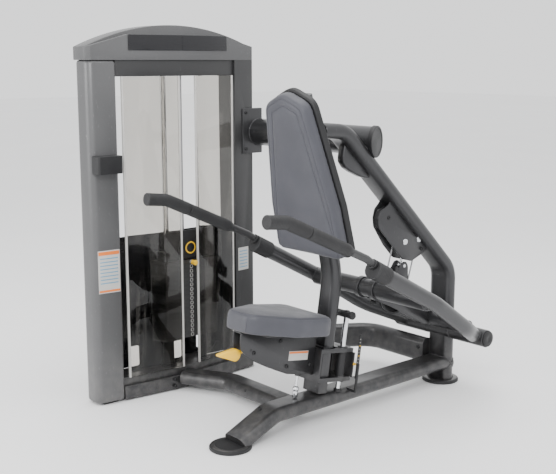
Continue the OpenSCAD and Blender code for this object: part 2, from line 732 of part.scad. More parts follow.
// ---- lifted part of the weight stack ------------------------------------------------------------

module lifted_plate() {
    color(graphite) stack_plate(lifted_z);
    color(graphite) difference() {
        translate([0, 0, head_z + 0.2]) linear_extrude(head_h) translate([stack_x - 34, stack_y - 120])
            rounded(68, 240, 6);
        at_rods() translate([0, 0, head_z - 1]) cylinder(r = rod_r + 1, h = 60);
    }
    color(chrome) translate([stack_x, stack_y, stack_z + 4]) difference() {
        cylinder(r = 12, h = head_z - stack_z - 4.2);
        for (k = [0 : plates_down]) rod(pin_r + 0.6, 60,
            [-30, 0, plate_t / 2 - 4 + k * plate_pitch], [1, 0, 0]);
    }
}

cover_x = stack_x + plate_d / 2 - 6;
module head_cover() color(graphite) {
    difference() {
        translate([cover_x - 5, 0, head_z + 3]) rotate([90, 0, 90]) linear_extrude(5)
            translate([stack_y - 128, 0]) rounded(256, cover_h - 10, 14);
        rod(1.5, 20, [cover_x - 10, stack_y, head_z + 20], [1, 0, 0]);
    }
    for (s = [-1, 1]) translate([stack_x + 34.3, stack_y + s * 100 - 10, head_z + 4])
        cube([cover_x - 5 - stack_x - 34.6, 20, 30]);
    translate([cover_x + 0.2, stack_y - 6, head_z + 50]) rotate([0, 90, 0]) difference() {
        cylinder(r = 26, h = 3);
        translate([0, 0, -1]) cylinder(r = 21, h = 5);
    }
}

module selector_pin() {
    pin_z = lifted_z + plate_t / 2;
    color(chrome) rod(pin_r, 77, [stack_x - 13, stack_y, pin_z], [1, 0, 0]);
    color(black) rod(11, 24, [stack_x + 64, stack_y, pin_z], [1, 0, 0]);
}

// ---- drawing ---------------------------------------------------------------------------------------

// From the rear post and the seat's centreline to the middle of the footprint
shift = [-(tower_x - tower_d / 2 + grip_reach) / 2,
         -(tower_y - half_w + pivot_y + foot_d / 2) / 2, 0];
module in_frame() translate(shift) children();

in_frame() front_pillar();
in_frame() rear_pillar();
in_frame() bottom_rail();
in_frame() inner_bands();
in_frame() header_front();
in_frame() header_arch();
in_frame() placard();
in_frame() front_shield();
in_frame() rear_shield();
in_frame() shield_trims();
in_frame() infill_panel();
in_frame() guide_rods();
in_frame() stack_stand();
in_frame() stack_plates();
in_frame() rubber_feet();
in_frame() accessory_box();
in_frame() label_plates();
in_frame() bolts();
in_frame() pulley_axles();
in_frame() base_tube();
in_frame() main_rail();
in_frame() floor_feet();
in_frame() upper_frame();
in_frame() cross_tube();
in_frame() tube_cap();
in_frame() pulley_housing();
in_frame() rear_brace();
in_frame() back_post();
in_frame() back_board();
in_frame() backrest_pad();
in_frame() seat_column();
in_frame() seat_rods();
in_frame() scale_strip();
in_frame() gas_rod();
in_frame() pivot_shaft();
in_frame() arm_hubs();
in_frame() left_arm();
in_frame() right_arm();
in_frame() arm_cross_tubes();
in_frame() arm_spine();
in_frame() arm_stop();
in_frame() left_handle();
in_frame() right_handle();
in_frame() seat_carriage();
in_frame() seat_shroud();
in_frame() seat_pad();
in_frame() gas_body();
in_frame() seat_lever();
in_frame() lifted_plate();
in_frame() head_cover();
in_frame() selector_pin();
in_frame() tower_pulley();
in_frame() corner_pulley();
in_frame() drop_pulley();
in_frame() housing_pulley();
in_frame() return_pulley();
in_frame() arm_pulley();
in_frame() stack_cable();
in_frame() frame_cable();
in_frame() arm_cable();
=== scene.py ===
"""The looks of a seated dip machine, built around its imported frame. Lengths are in millimetres
where a function says so, and in metres elsewhere."""
import json
import math

import bmesh
import bpy
from mathutils import Matrix, Vector, geometry, kdtree, noise
from mathutils.bvhtree import BVHTree
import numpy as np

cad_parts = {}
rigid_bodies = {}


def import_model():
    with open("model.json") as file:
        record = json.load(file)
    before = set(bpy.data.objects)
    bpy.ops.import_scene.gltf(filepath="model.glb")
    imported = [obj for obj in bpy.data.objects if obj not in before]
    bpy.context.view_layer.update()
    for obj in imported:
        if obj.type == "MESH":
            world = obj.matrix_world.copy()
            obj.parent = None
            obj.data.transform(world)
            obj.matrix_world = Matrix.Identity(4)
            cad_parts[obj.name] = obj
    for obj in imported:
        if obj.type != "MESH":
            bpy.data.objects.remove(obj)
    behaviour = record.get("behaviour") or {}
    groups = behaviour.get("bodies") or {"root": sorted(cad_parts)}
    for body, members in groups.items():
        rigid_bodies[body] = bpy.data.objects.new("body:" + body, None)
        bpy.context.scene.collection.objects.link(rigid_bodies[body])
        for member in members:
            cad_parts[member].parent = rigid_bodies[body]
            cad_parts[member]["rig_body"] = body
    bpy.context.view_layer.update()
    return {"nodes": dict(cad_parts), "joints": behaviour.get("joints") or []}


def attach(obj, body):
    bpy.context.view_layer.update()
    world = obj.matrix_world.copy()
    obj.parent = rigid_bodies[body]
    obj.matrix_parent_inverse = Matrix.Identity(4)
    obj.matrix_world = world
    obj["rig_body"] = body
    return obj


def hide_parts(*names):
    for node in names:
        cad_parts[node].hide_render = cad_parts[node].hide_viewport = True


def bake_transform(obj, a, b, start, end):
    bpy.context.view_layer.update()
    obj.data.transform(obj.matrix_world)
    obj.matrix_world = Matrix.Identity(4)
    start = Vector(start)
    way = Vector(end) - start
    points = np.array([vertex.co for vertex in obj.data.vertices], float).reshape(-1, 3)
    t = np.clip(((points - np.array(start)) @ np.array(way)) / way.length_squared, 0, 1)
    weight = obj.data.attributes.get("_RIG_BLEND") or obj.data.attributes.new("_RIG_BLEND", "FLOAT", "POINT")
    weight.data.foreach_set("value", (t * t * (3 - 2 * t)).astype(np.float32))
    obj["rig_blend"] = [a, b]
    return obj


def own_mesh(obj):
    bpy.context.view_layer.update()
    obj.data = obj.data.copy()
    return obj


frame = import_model()

# ---- places ----

MM = 0.001
JOINTS = {joint["name"]: joint for joint in frame["joints"]}
HINGE = Vector(JOINTS["arm_press"]["pos_m"])
FOOT = Vector((HINGE.x, HINGE.y, 0))
SEAT_TILT = math.atan2(JOINTS["seat_slide"]["axis"][1], JOINTS["seat_slide"]["axis"][2])
POST = [(0, -700, 282), (0, -656, 560), (0, -816.5, 1238.6)]
BACK_TILT = math.atan2(POST[1][1] - POST[2][1], POST[2][2] - POST[1][2])
X_AXIS, Z_AXIS = (1, 0, 0), (0, 0, 1)
SIDES = ((1, "left"), (-1, "right"))
# The weight stack: its middle, the underside of its lowest plate, and its plates but the top one
STACK = (-712, -838)
STACK_Z, PLATE_T, PITCH, PLATES = 208.5, 19, 19.6, 16
STACK_TOP = STACK_Z + PLATES * PITCH + PLATE_T


def at(x, y, z):
    """A point in millimetres from the foot of the rear post, on the seat's centreline."""
    return FOOT + Vector((x, y, z)) * MM


SEAT = Matrix.Translation(at(0, -660, 112)) @ Matrix.Rotation(-SEAT_TILT, 4, "X")
BACK = (Matrix.Translation(at(*POST[1]) + Vector((0, -math.sin(BACK_TILT), math.cos(BACK_TILT))) * 60 * MM)
        @ Matrix.Rotation(BACK_TILT, 4, "X") @ Matrix.Translation((0, -25 * MM, 0)))


def seat_at(x, y, z):
    """A point in millimetres in the frame that leans with the seat's guide rods."""
    return SEAT @ (Vector((x, y, z)) * MM)


# ---- camera, floor and light ----

def camera():
    data = bpy.data.cameras.new("camera")
    data.lens = 62.8
    data.sensor_width = 36
    data.shift_x = -0.0072
    eye = bpy.data.objects.new("camera", data)
    bpy.context.scene.collection.objects.link(eye)
    azimuth, pitch = math.radians(48.9), math.radians(10.34)
    look = Vector((-math.sin(azimuth) * math.cos(pitch), math.cos(azimuth) * math.cos(pitch),
                   -math.sin(pitch)))
    eye.location = at(2583, -3162, 1360)
    eye.rotation_euler = look.to_track_quat("-Z", "Y").to_euler()
    bpy.context.scene.camera = eye


def area_light(name, place, target, width, height, watts):
    data = bpy.data.lights.new(name, "AREA")
    data.shape = "RECTANGLE"
    data.size, data.size_y = width, height
    data.energy = watts
    lamp = bpy.data.objects.new(name, data)
    bpy.context.scene.collection.objects.link(lamp)
    lamp.location = place
    lamp.rotation_euler = (Vector(target) - Vector(place)).to_track_quat("-Z", "Y").to_euler()


def studio():
    world = bpy.data.worlds.new("studio")
    world.use_nodes = True
    world.node_tree.nodes["Background"].inputs["Color"].default_value = (0.98, 0.985, 0.99, 1)
    world.node_tree.nodes["Background"].inputs["Strength"].default_value = 1.5
    bpy.context.scene.world = world
    area_light("key", (3.2, -3.4, 3.6), (0, 0, 0.7), 2.4, 1.6, 150)
    area_light("left", (-1.5, -4.2, 1.8), (-0.3, 0, 0.7), 1.8, 2.4, 75)
    area_light("top", (0.2, 0.2, 4.2), (0, 0, 0.5), 3.0, 3.0, 85)
    floor = bpy.data.objects.new("floor", bpy.data.meshes.new("floor"))
    bm = bmesh.new()
    bmesh.ops.create_grid(bm, x_segments=1, y_segments=1, size=30)
    bm.to_mesh(floor.data)
    bm.free()
    bpy.context.scene.collection.objects.link(floor)
    floor.data.materials.append(FLOOR)


# ---- materials ----

class Shade:
    """A new material, its shader, and nodes that work in metres."""

    def __init__(self, name, colour, roughness, **sockets):
        self.material = bpy.data.materials.new(name)
        self.material.use_nodes = True
        self.tree = self.material.node_tree
        self.shader = self.tree.nodes["Principled BSDF"]
        self.shader.inputs["Base Color"].default_value = (*colour, 1)
        self.shader.inputs["Roughness"].default_value = roughness
        for socket, value in sockets.items():
            self.shader.inputs[socket.replace("_", " ")].default_value = value
        self.place = self.node("TexCoord", "Object", {})

    def node(self, kind, result, inputs, **settings):
        """A node's result. Its inputs are numbers, colours or other nodes' results."""
        node = self.tree.nodes.new("ShaderNode" + kind)
        for setting, value in settings.items():
            setattr(node, setting, value)
        for socket, value in inputs.items():
            if isinstance(value, bpy.types.NodeSocket):
                self.tree.links.new(value, node.inputs[socket])
            else:
                node.inputs[socket].default_value = value
        return node.outputs[result]

    def noise(self, scale, detail, stretch=None):
        place = self.place
        if stretch:
            place = self.node("Mapping", "Vector", {"Vector": place, "Scale": stretch})
        return self.node("TexNoise", "Fac", {"Vector": place, "Scale": scale, "Detail": detail})

    def cells(self, scale, feature="F1"):
        return self.node("TexVoronoi", "Distance", {"Vector": self.place, "Scale": scale}, feature=feature)

    def ramp(self, value, low, high, start=0.35, end=0.65):
        """Turns a value into a number between low and high."""
        return self.node("MapRange", "Result", {"Value": value, "From Min": start, "From Max": end,
                                                "To Min": low, "To Max": high})

    def mix(self, factor, first, second):
        first, second = ((*c, 1) if isinstance(c, tuple) else c for c in (first, second))
        return self.node("Mix", "Result", {"Factor": factor, "A": first, "B": second}, data_type="RGBA")

    def finish(self, colour, roughness, bumps=()):
        """Links the shader. Each bump is a height, its strength and its depth in metres."""
        results = {"Base Color": colour, "Roughness": roughness}
        for height, strength, depth in bumps:
            inputs = {"Height": height, "Strength": strength, "Distance": depth}
            if "Normal" in results:
                inputs["Normal"] = results["Normal"]
            results["Normal"] = self.node("Bump", "Normal", inputs)
        for socket, result in results.items():
            if result:
                self.tree.links.new(result, self.shader.inputs[socket])
        return self.material


def tinted(colour, gain, lift=0.0):
    return tuple(min(1.0, c * gain + lift) for c in colour)


def paint(name, colour, metallic, roughness, scuffed=0.0):
    """Powder-coated steel: fine flakes, orange peel, faint scratches and dust near the floor."""
    m = Shade(name, colour, roughness, Metallic=metallic, Coat_Weight=0.22, Coat_Roughness=0.25)
    base = m.mix(m.ramp(m.cells(1500), 0, 1, 0.1, 0.8), colour, tinted(colour, 1.35, 0.004))
    base = m.mix(m.ramp(m.noise(3.1, 2), 0, 0.35), base, tinted(colour, 0.72))
    scratches = m.ramp(m.noise(42, 6, (1.0, 6.0, 1.0)), 0, 0.5 + scuffed, 0.66, 0.72)
    base = m.mix(scratches, base, tinted(colour, 2.0, 0.03))
    near_floor = m.ramp(m.node("SeparateXYZ", "Z", {"Vector": m.place}), 0.30, 0.0, 0.0, 0.28)
    patches = m.ramp(m.noise(30, 5), 0.1, 1.0)
    dust = m.node("Math", "Value", {0: near_floor, 1: patches}, operation="MULTIPLY")
    cloud = m.ramp(m.noise(2.4, 4), 0, 1)
    return m.finish(m.mix(dust, base, (0.22, 0.21, 0.20)),
                    m.ramp(cloud, roughness - 0.05, roughness + 0.09, 0, 1),
                    [(m.noise(260, 2), 0.10, 0.0006), (m.noise(1400, 1), 0.05, 0.0002)])


def plastic(name, colour, roughness, grain=900, depth=0.00035, wear=0.16):
    """Moulded plastic or rubber: a fine spark-eroded grain, smudges, and paler rubbed patches."""
    m = Shade(name, colour, roughness, Specular_IOR_Level=0.42)
    worn = tinted(colour, 1.9, 0.012)
    base = m.mix(m.ramp(m.noise(16, 6), 0, wear, 0.48, 0.72), colour, worn)
    base = m.mix(m.ramp(m.cells(2100), 0.14, 0.0, 0.0, 0.25), base, worn)
    return m.finish(base, m.ramp(m.noise(11, 4), roughness - 0.07, roughness + 0.08),
                    [(m.cells(grain), 0.30, depth), (m.noise(70, 2), 0.08, 0.0008)])


def metal(name, colour, roughness, stretch=(1, 1, 0.04), scale=500):
    """Plated or brushed steel: drawn lines along one direction, smudges and a few dull spots."""
    m = Shade(name, colour, roughness, Metallic=1.0)
    smudge = m.noise(9, 5)
    base = m.mix(m.ramp(smudge, 0, 0.35), colour, tinted(colour, 0.75))
    return m.finish(base, m.ramp(smudge, max(0.02, roughness - 0.04), roughness + 0.10, 0.3, 0.75),
                    [(m.noise(scale, 3, stretch), 0.10, 0.0001)])


def vinyl(name, colour):
    """Upholstery vinyl: pebbled leather grain, soft creases, a slight sheen and handling wear, with painted
    shade in the grain's valleys.
    """
    m = Shade(name, colour, 0.52, Sheen_Weight=0.18, Sheen_Roughness=0.45, Specular_IOR_Level=0.46)
    dark = tinted(colour, 0.76)
    valleys = m.cells(430, "DISTANCE_TO_EDGE")
    base = m.mix(m.ramp(m.noise(7, 5), 0, 0.8), colour, tinted(colour, 1.28))
    # Darker where the grain's bump has its valleys: painted shade in the recesses.
    base = m.mix(m.ramp(valleys, 0.5, 0.0, 0.0, 0.10), base, dark)
    base = m.mix(m.ramp(m.noise(2.2, 3), 0, 0.35, 0.45, 0.7), base, dark)
    return m.finish(base, m.ramp(m.noise(13, 5), 0.44, 0.60),
                    [(m.noise(26, 4), 0.16, 0.0022), (valleys, 0.34, 0.0005), (m.cells(760), 0.22, 0.0003)])


def clear_sheet(name):
    """Smoked clear sheet with a faint haze and rubbed streaks."""
    m = Shade(name, (0.60, 0.57, 0.52), 0.04, IOR=1.45, Transmission_Weight=1.0)
    base = m.mix(m.ramp(m.noise(5, 5), 0, 0.3, 0.4, 0.75), (0.62, 0.595, 0.55), (0.55, 0.53, 0.49))
    return m.finish(base, m.ramp(m.noise(22, 5, (1, 1, 0.2)), 0.015, 0.09, 0.4, 0.8))


def floor_material():
    m = Shade("floor_pale", (0.93, 0.93, 0.93), 0.75)
    return m.finish(m.mix(m.ramp(m.noise(0.8, 3), 0, 1), (0.94, 0.94, 0.94), (0.92, 0.92, 0.925)), None)


FLOOR = floor_material()
# Each look is a material and the record's slot that it belongs to
LOOKS = {
    "frame": (paint("frame_paint", (0.035, 0.035, 0.037), 0.60, 0.33), "graphite_paint"),
    "pillar": (paint("tower_paint", (0.085, 0.085, 0.087), 0.40, 0.40), "pillar_paint"),
    # A darker copy of the pillar paint for the rear pillar: painted shade, as if that pillar stood in less
    # light.
    "pillar_painted_shade": (paint("tower_paint_painted_shade", (0.034, 0.034, 0.035), 0.40, 0.42), "pillar_paint"),
    "black_steel": (paint("black_paint", (0.016, 0.016, 0.017), 0.10, 0.42), "black_paint"),
    "black": (plastic("black_plastic", (0.010, 0.010, 0.011), 0.50), "black_plastic"),
    "gloss": (plastic("gloss_black", (0.010, 0.010, 0.012), 0.20, 1600, 0.0001, 0.06), "gloss_black"),
    "rubber": (plastic("grip_rubber", (0.012, 0.012, 0.013), 0.60, 520, 0.0007, 0.30), "rubber"),
    "chrome": (metal("chrome", (0.74, 0.75, 0.77), 0.13), "chrome"),
    "steel": (metal("cable_steel", (0.33, 0.33, 0.34), 0.36, (1, 1, 1), 900), "steel_cable"),
    "iron": (paint("cast_plate", (0.020, 0.020, 0.021), 0.2, 0.46, 0.25), "cast_plate"),
    "vinyl": (vinyl("pad_vinyl", (0.046, 0.047, 0.058)), "vinyl"),
    "yellow": (plastic("yellow_plastic", (0.80, 0.47, 0.018), 0.36, 1100, 0.0002, 0.12), "yellow_plastic"),
    "clear": (clear_sheet("smoked_sheet"), "clear_sheet"),
    "white": (plastic("label_white", (0.47, 0.46, 0.44), 0.45, 1500, 0.0001, 0.10), "label_white"),
    "orange": (plastic("label_orange", (0.72, 0.17, 0.025), 0.45, 1500, 0.0001, 0.10), "label_white"),
    "blue": (plastic("label_blue", (0.12, 0.28, 0.42), 0.40, 1500, 0.0001, 0.10), "label_white"),
    "thread": (plastic("seam_thread", (0.060, 0.060, 0.072), 0.70, 1800, 0.0002, 0.25), "vinyl"),
}

camera()
studio()

# ---- mesh helpers ----

def dress(ob, look, body, *nodes, smooth=38):
    """Gives a piece its material and body, and hides the CAD nodes that it stands for."""
    mat, slot = LOOKS[look]
    ob.data.materials.clear()
    ob.data.materials.append(mat)
    if smooth:
        ob.data.shade_smooth()
        ob.data.set_sharp_from_angle(angle=math.radians(smooth))
    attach(ob, body)
    if nodes:
        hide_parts(*nodes)
    return ob


def link(name, verts, faces):
    mesh = bpy.data.meshes.new(name)
    mesh.from_pydata([tuple(v) for v in verts], [], faces)
    mesh.validate()
    bm = bmesh.new()
    bm.from_mesh(mesh)
    bmesh.ops.recalc_face_normals(bm, faces=bm.faces)
    bm.to_mesh(mesh)
    bm.free()
    ob = bpy.data.objects.new(name, mesh)
    bpy.context.scene.collection.objects.link(ob)
    return ob


def piece(name, mesh, look, body, *nodes, smooth=38):
    """A dressed object out of one (vertices, faces) mesh."""
    return dress(link(name, *mesh), look, body, *nodes, smooth=smooth)


def applied(ob):
    """Replaces an object's mesh with what its modifiers make of it."""
    depsgraph = bpy.context.evaluated_depsgraph_get()
    mesh = bpy.data.meshes.new_from_object(ob.evaluated_get(depsgraph))
    ob.modifiers.clear()
    ob.data = mesh
    return ob


def bevel(ob, width, segments):
    """Rounds an object's sharp edges by a width in millimetres."""
    mod = ob.modifiers.new("bevel", "BEVEL")
    mod.width = width * MM
    mod.segments = segments
    mod.limit_method = "ANGLE"
    mod.angle_limit = math.radians(34)
    mod.use_clamp_overlap = True
    mod.miter_outer = "MITER_ARC"
    return applied(ob)


def joined(name, parts):
    """One object out of several (vertices, faces) parts."""
    verts, faces = [], []
    for part_verts, part_faces in parts:
        base = len(verts)
        verts += list(part_verts)
        faces += [tuple(i + base for i in face) for face in part_faces]
    return link(name, verts, faces)


def skin(rings, closed_ends=True, closed_loop=False):
    """Faces between rings of equal length, with a fan-free cap on each end."""
    count = len(rings[0])
    verts = [v for ring in rings for v in ring]
    faces = []
    last = len(rings) if closed_loop else len(rings) - 1
    for i in range(last):
        a, b = i * count, (i + 1) % len(rings) * count
        for j in range(count):
            k = (j + 1) % count
            faces.append((a + j, a + k, b + k, b + j))
    if closed_ends and not closed_loop:
        faces.append(tuple(reversed(range(count))))
        faces.append(tuple(range((len(rings) - 1) * count, len(rings) * count)))
    return verts, faces


def rounded_path(points, radius):
    """Places and directions along straight legs joined by arcs of a radius. Lengths in millimetres."""
    points = [Vector(p) for p in points]
    out = [(points[0], (points[1] - points[0]).normalized())]
    for a, b, c in zip(points, points[1:], points[2:]):
        before, after = (b - a).normalized(), (c - b).normalized()
        angle = before.angle(after)
        if angle < 1e-4:
            continue
        trim = radius * math.tan(angle / 2)
        axis = before.cross(after).normalized()
        centre = b - before * trim + axis.cross(before) * radius
        steps = max(4, math.ceil(math.degrees(angle) / 4))
        for i in range(steps + 1):
            spin = Matrix.Rotation(angle * i / steps, 3, axis)
            out.append((centre + spin @ (b - before * trim - centre), spin @ before))
    out.append((points[-1], (points[-1] - points[-2]).normalized()))
    return out


def around(count):
    """The cosines and sines of a whole turn in even steps."""
    return [(math.cos(2 * math.pi * k / count), math.sin(2 * math.pi * k / count)) for k in range(count)]


def oval(wide, deep):
    """A flat-oval section: points (across, in the bend's plane), in millimetres."""
    r = min(wide, deep) / 2
    ring, count = [], 48
    for i in range(count):
        angle = 2 * math.pi * (i + 0.5) / count
        c, s = math.cos(angle), math.sin(angle)
        ring.append((c * r + math.copysign(max(0, wide - deep) / 2, c),
                     s * r + math.copysign(max(0, deep - wide) / 2, s)))
    return ring


def squared(x, run):
    """A direction turned square to a run, and the direction square to both."""
    x = (x - run * x.dot(run)).normalized()
    return x, run.cross(x)


def circle(middle, x, y, radius, count):
    return [middle + (x * c + y * s) * radius for c, s in around(count)]


def sweep(points, radius, section, side, place=at):
    """A section along a path: (vertices, faces) in the row frame. The ends have a small round edge."""
    path = rounded_path(points, radius)
    x = Vector(side) if side else path[0][1].orthogonal()
    rings, edge = [], 1.5
    for middle, direction in path:
        x, y = squared(x, direction)
        rings.append([middle + x * u + y * v for u, v in section])
    for end, sign in ((0, 1), (-1, -1)):
        middle, direction = path[end]
        ring = rings[end]
        slim = [middle + (v - middle) * (1 - edge / (v - middle).length) for v in ring]
        rings[end] = [v + direction * sign * edge for v in ring]
        rings.insert(0 if end == 0 else len(rings), slim)
    verts, faces = skin(rings)
    return [place(*v) for v in verts], faces


def turned(points, radius, radius_of, step, place):
    """A round section along a bent path, whose radius follows the distance walked."""
    path = rounded_path(points, radius)
    walked, rings = 0.0, []
    x = path[0][1].orthogonal()
    for (a, run_a), (b, run_b) in zip(path, path[1:]):
        length = (b - a).length
        count = max(1, round(length / step))
        for k in range(count):
            t = k / count
            x, y = squared(x, run_a.lerp(run_b, t).normalized())
            rings.append(circle(a.lerp(b, t), x, y, radius_of(walked + length * t), 40))
        walked += length
    verts, faces = skin(rings)
    return [place(*v) for v in verts], faces


def tube(name, points, radius, wide, deep, side, body, *nodes, floor=-1e9):
    """A painted flat-oval tube along a path, kept above a floor."""
    verts, faces = sweep(points, radius, oval(wide, deep), side)
    verts = [Vector((v.x, v.y, max(v.z, floor * MM))) for v in verts]
    return piece(name, (verts, faces), "frame", body, *nodes)


def lathe(profile, place, axis, steps):
    """A profile of (radius, height) turned about an axis through a place in the row frame.
    Lengths of the profile are in millimetres; it closes on itself unless it starts on the axis."""
    turn = Vector(axis).to_track_quat("Z", "Y").to_matrix()
    on_axis = profile[0][0] < 1e-6
    inner = profile[1:-1] if on_axis else profile
    rings = [[place + turn @ Vector((r * c, r * s, h)) * MM for c, s in around(steps)] for r, h in inner]
    if not on_axis:
        return skin(rings, closed_ends=False, closed_loop=True)
    verts, faces = skin(rings, closed_ends=False)
    count = len(verts)
    verts += [place + turn @ Vector((0, 0, profile[0][1])) * MM,
              place + turn @ Vector((0, 0, profile[-1][1])) * MM]
    last = count - steps
    faces += [(count, (k + 1) % steps, k) for k in range(steps)]
    faces += [(count + 1, last + k, last + (k + 1) % steps) for k in range(steps)]
    return verts, faces


def rod(radius, start, end, edge=1.0, steps=48):
    """A solid round bar between two row-frame points, with its edges broken."""
    start, end = Vector(start), Vector(end)
    length = (end - start).length / MM
    profile = [(0, 0), (radius - edge, 0), (radius, edge), (radius, length - edge),
               (radius - edge, length), (0, length)]
    return lathe(profile, start, end - start, steps)


def cut_corners(points, radius):
    """A closed outline with each corner turned into an arc."""
    points = [Vector(p) for p in points]
    out, steps = [], 5
    for i, b in enumerate(points):
        a, c = points[i - 1], points[(i + 1) % len(points)]
        before, after = (b - a).normalized(), (c - b).normalized()
        angle = before.angle(after)
        if angle < 0.02:
            out.append(b)
            continue
        trim = min(radius * math.tan(angle / 2), 0.48 * (b - a).length, 0.48 * (c - b).length)
        for k in range(steps + 1):
            t = k / steps
            out.append((b - before * trim) * (1 - t) ** 2 + b * 2 * t * (1 - t) + (b + after * trim) * t**2)
    return out


def slab(outline, low, high, place, edge):
    """An outline of (y, z) drawn between two X values, with broken edges; place turns
    millimetres into a row-frame point."""
    area = sum(a.x * b.y - b.x * a.y for a, b in zip(outline, outline[1:] + outline[:1]))
    inset = []
    for i, p in enumerate(outline):
        run = (outline[(i + 1) % len(outline)] - outline[i - 1]).normalized()
        inset.append(p + Vector((-run.y, run.x)) * edge * (1 if area > 0 else -1))
    rings = [[place(low, p.x, p.y) for p in inset], [place(low + edge, p.x, p.y) for p in outline],
             [place(high - edge, p.x, p.y) for p in outline], [place(high, p.x, p.y) for p in inset]]
    return skin(rings)


def box(name, low, high, width, segments, look, body, *nodes, place=at):
    """A box between two corners, with its edges rounded by a width."""
    verts = [place(x, y, z) for x in (low[0], high[0]) for y in (low[1], high[1]) for z in (low[2], high[2])]
    faces = [(0, 1, 3, 2), (4, 6, 7, 5), (0, 4, 5, 1), (2, 3, 7, 6), (0, 2, 6, 4), (1, 5, 7, 3)]
    return dress(bevel(link(name, verts, faces), width, segments), look, body, *nodes)


def side_plate(name, outline, s, side, near, far, place, body, node):
    """One plate of a pair, square to X; the left one stands for their CAD node."""
    low, high = sorted((s * near, s * far))
    return piece(f"{name}_{side}", slab(outline, low, high, place, 1.0), "frame", body, *only(s > 0, node),
                 smooth=50)


def hollow(bore, radius, edge, low, high):
    """The profile of a sleeve with broken outer edges, for lathe()."""
    return [(bore, low), (radius - edge, low), (radius, low + edge), (radius, high - edge),
            (radius - edge, high), (bore, high)]


def only(test, node):
    """The node that a piece stands for if it is the one of its kind that replaces it."""
    return [node] if test else []


def screw(place, axis, radius):
    """A button-head screw with a hexagon socket."""
    height, socket, steps = 5, radius * 0.45, 36
    turn = Vector(axis).to_track_quat("Z", "Y").to_matrix()

    def ring(r, h, hexagon=False):
        out = []
        for k in range(steps):
            angle = 2 * math.pi * k / steps
            bend = math.cos(math.pi / 6) / math.cos(angle % (math.pi / 3) - math.pi / 6) if hexagon else 1
            reach = r * bend
            out.append(place + turn @ Vector((reach * math.cos(angle), reach * math.sin(angle), h)) * MM)
        return out

    rings = [ring(radius, -1), ring(radius, height * 0.25), ring(radius * 0.93, height * 0.6),
             ring(radius * 0.75, height * 0.88), ring(radius * 0.58, height), ring(socket, height, True),
             ring(socket * 0.96, height - 0.4, True), ring(socket * 0.96, height * 0.35, True)]
    return skin(rings)


def bevelled(node, width, look, segments=2):
    """A piece that keeps a CAD node's shape and rounds its sharp edges."""
    source = frame["nodes"][node]
    ob = bpy.data.objects.new(node + "_part", source.data.copy())
    bpy.context.scene.collection.objects.link(ob)
    bm = bmesh.new()
    bm.from_mesh(ob.data)
    bmesh.ops.remove_doubles(bm, verts=bm.verts, dist=2e-5)
    bmesh.ops.dissolve_limit(bm, angle_limit=math.radians(1), verts=bm.verts, edges=bm.edges)
    bm.to_mesh(ob.data)
    bm.free()
    for name_of_layer in [a.name for a in ob.data.attributes if a.name.startswith("custom_normal")]:
        ob.data.attributes.remove(ob.data.attributes[name_of_layer])
    bevel(ob, width, segments)
    return dress(ob, look, source["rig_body"], node)


def weld(name, first, second, body, radius=3.2):
    """A bead of weld along the line where two pieces meet."""
    pair = []
    for ob, slot in ((first, 0), (second, 1)):
        copy = ob.copy()
        copy.data = ob.data.copy()
        copy.parent = None
        bpy.context.scene.collection.objects.link(copy)
        copy.data.materials.clear()
        copy.data.materials.append(LOOKS["frame"][0])
        copy.data.materials.append(LOOKS["chrome"][0])
        copy.data.polygons.foreach_set("material_index", [slot] * len(copy.data.polygons))
        pair.append(copy)
    mod = pair[0].modifiers.new("join", "BOOLEAN")
    mod.object = pair[1]
    mod.operation = "UNION"
    mod.solver = "EXACT"
    mod.material_mode = "INDEX"
    applied(pair[0])
    bm = bmesh.new()
    bm.from_mesh(pair[0].data)
    bmesh.ops.remove_doubles(bm, verts=bm.verts, dist=1e-4)
    seam = [e for e in bm.edges if len(e.link_faces) == 2
            and e.link_faces[0].material_index != e.link_faces[1].material_index]
    parts = [bead(chain, closed, radius, 4.0) for chain, closed in chains_of(seam) if len(chain) > 5]
    bm.free()
    for copy in pair:
        bpy.data.objects.remove(copy)
    if parts:
        dress(joined(name, parts), "frame", body, smooth=70)


def chains_of(edges):
    """Runs of joined edges, as (points, closed)."""
    left, out = dict.fromkeys(edges), []
    while left:
        edge, _ = left.popitem()
        run = [edge.verts[0], edge.verts[1]]
        grown = True
        while grown:
            grown = False
            for end in (-1, 0):
                step = next((e for e in run[end].link_edges if e in left), None)
                if step:
                    del left[step]
                    other = step.other_vert(run[end])
                    run.insert(len(run) if end else 0, other)
                    grown = True
        closed = run[0] == run[-1]
        out.append(([v.co.copy() for v in (run[:-1] if closed else run)], closed))
    return out


def finer(points, step):
    """Row-frame points walked again in even steps of some millimetres."""
    out, walked = [points[0]], 0.0
    for a, b in zip(points, points[1:]):
        length = (b - a).length
        while walked + length >= step * MM:
            a = a.lerp(b, (step * MM - walked) / length)
            length = (b - a).length
            walked = 0.0
            out.append(a)
        walked += length
    return out


def bead(points, closed, radius, step):
    """A round, rippled bead along points in the row frame."""
    even = finer(points + points[:1] if closed else points, step)
    if closed and (even[-1] - even[0]).length < step * MM * 0.7:
        even.pop()
    count = len(even)
    rings, x = [], Vector((0.3, 0.5, 0.81))
    for i, p in enumerate(even):
        ahead = even[(i + 1) % count] if closed or i < count - 1 else p
        behind = even[i - 1] if closed or i else p
        x, y = squared(x, (ahead - behind).normalized())
        ripple = 1 + 0.13 * math.sin(i * 2.1) + 0.12 * noise.noise(p * 90)
        rings.append(circle(p, x, y, radius * MM * ripple, 8))
    return skin(rings + rings[:1], False) if closed else skin(rings)


# ---- floor frame and rear post ----

CROSS = (-470, 1055)
CAP_X, MITRE = 47, math.radians(24)


def mitre_ring(radius, back):
    """A ring round the cross tube on a plane parallel to its slanted end, some way behind it."""
    return [at(CAP_X - back / math.cos(MITRE) - radius * c * math.tan(MITRE), CROSS[0] + radius * c,
               CROSS[1] + radius * s) for c, s in around(64)]


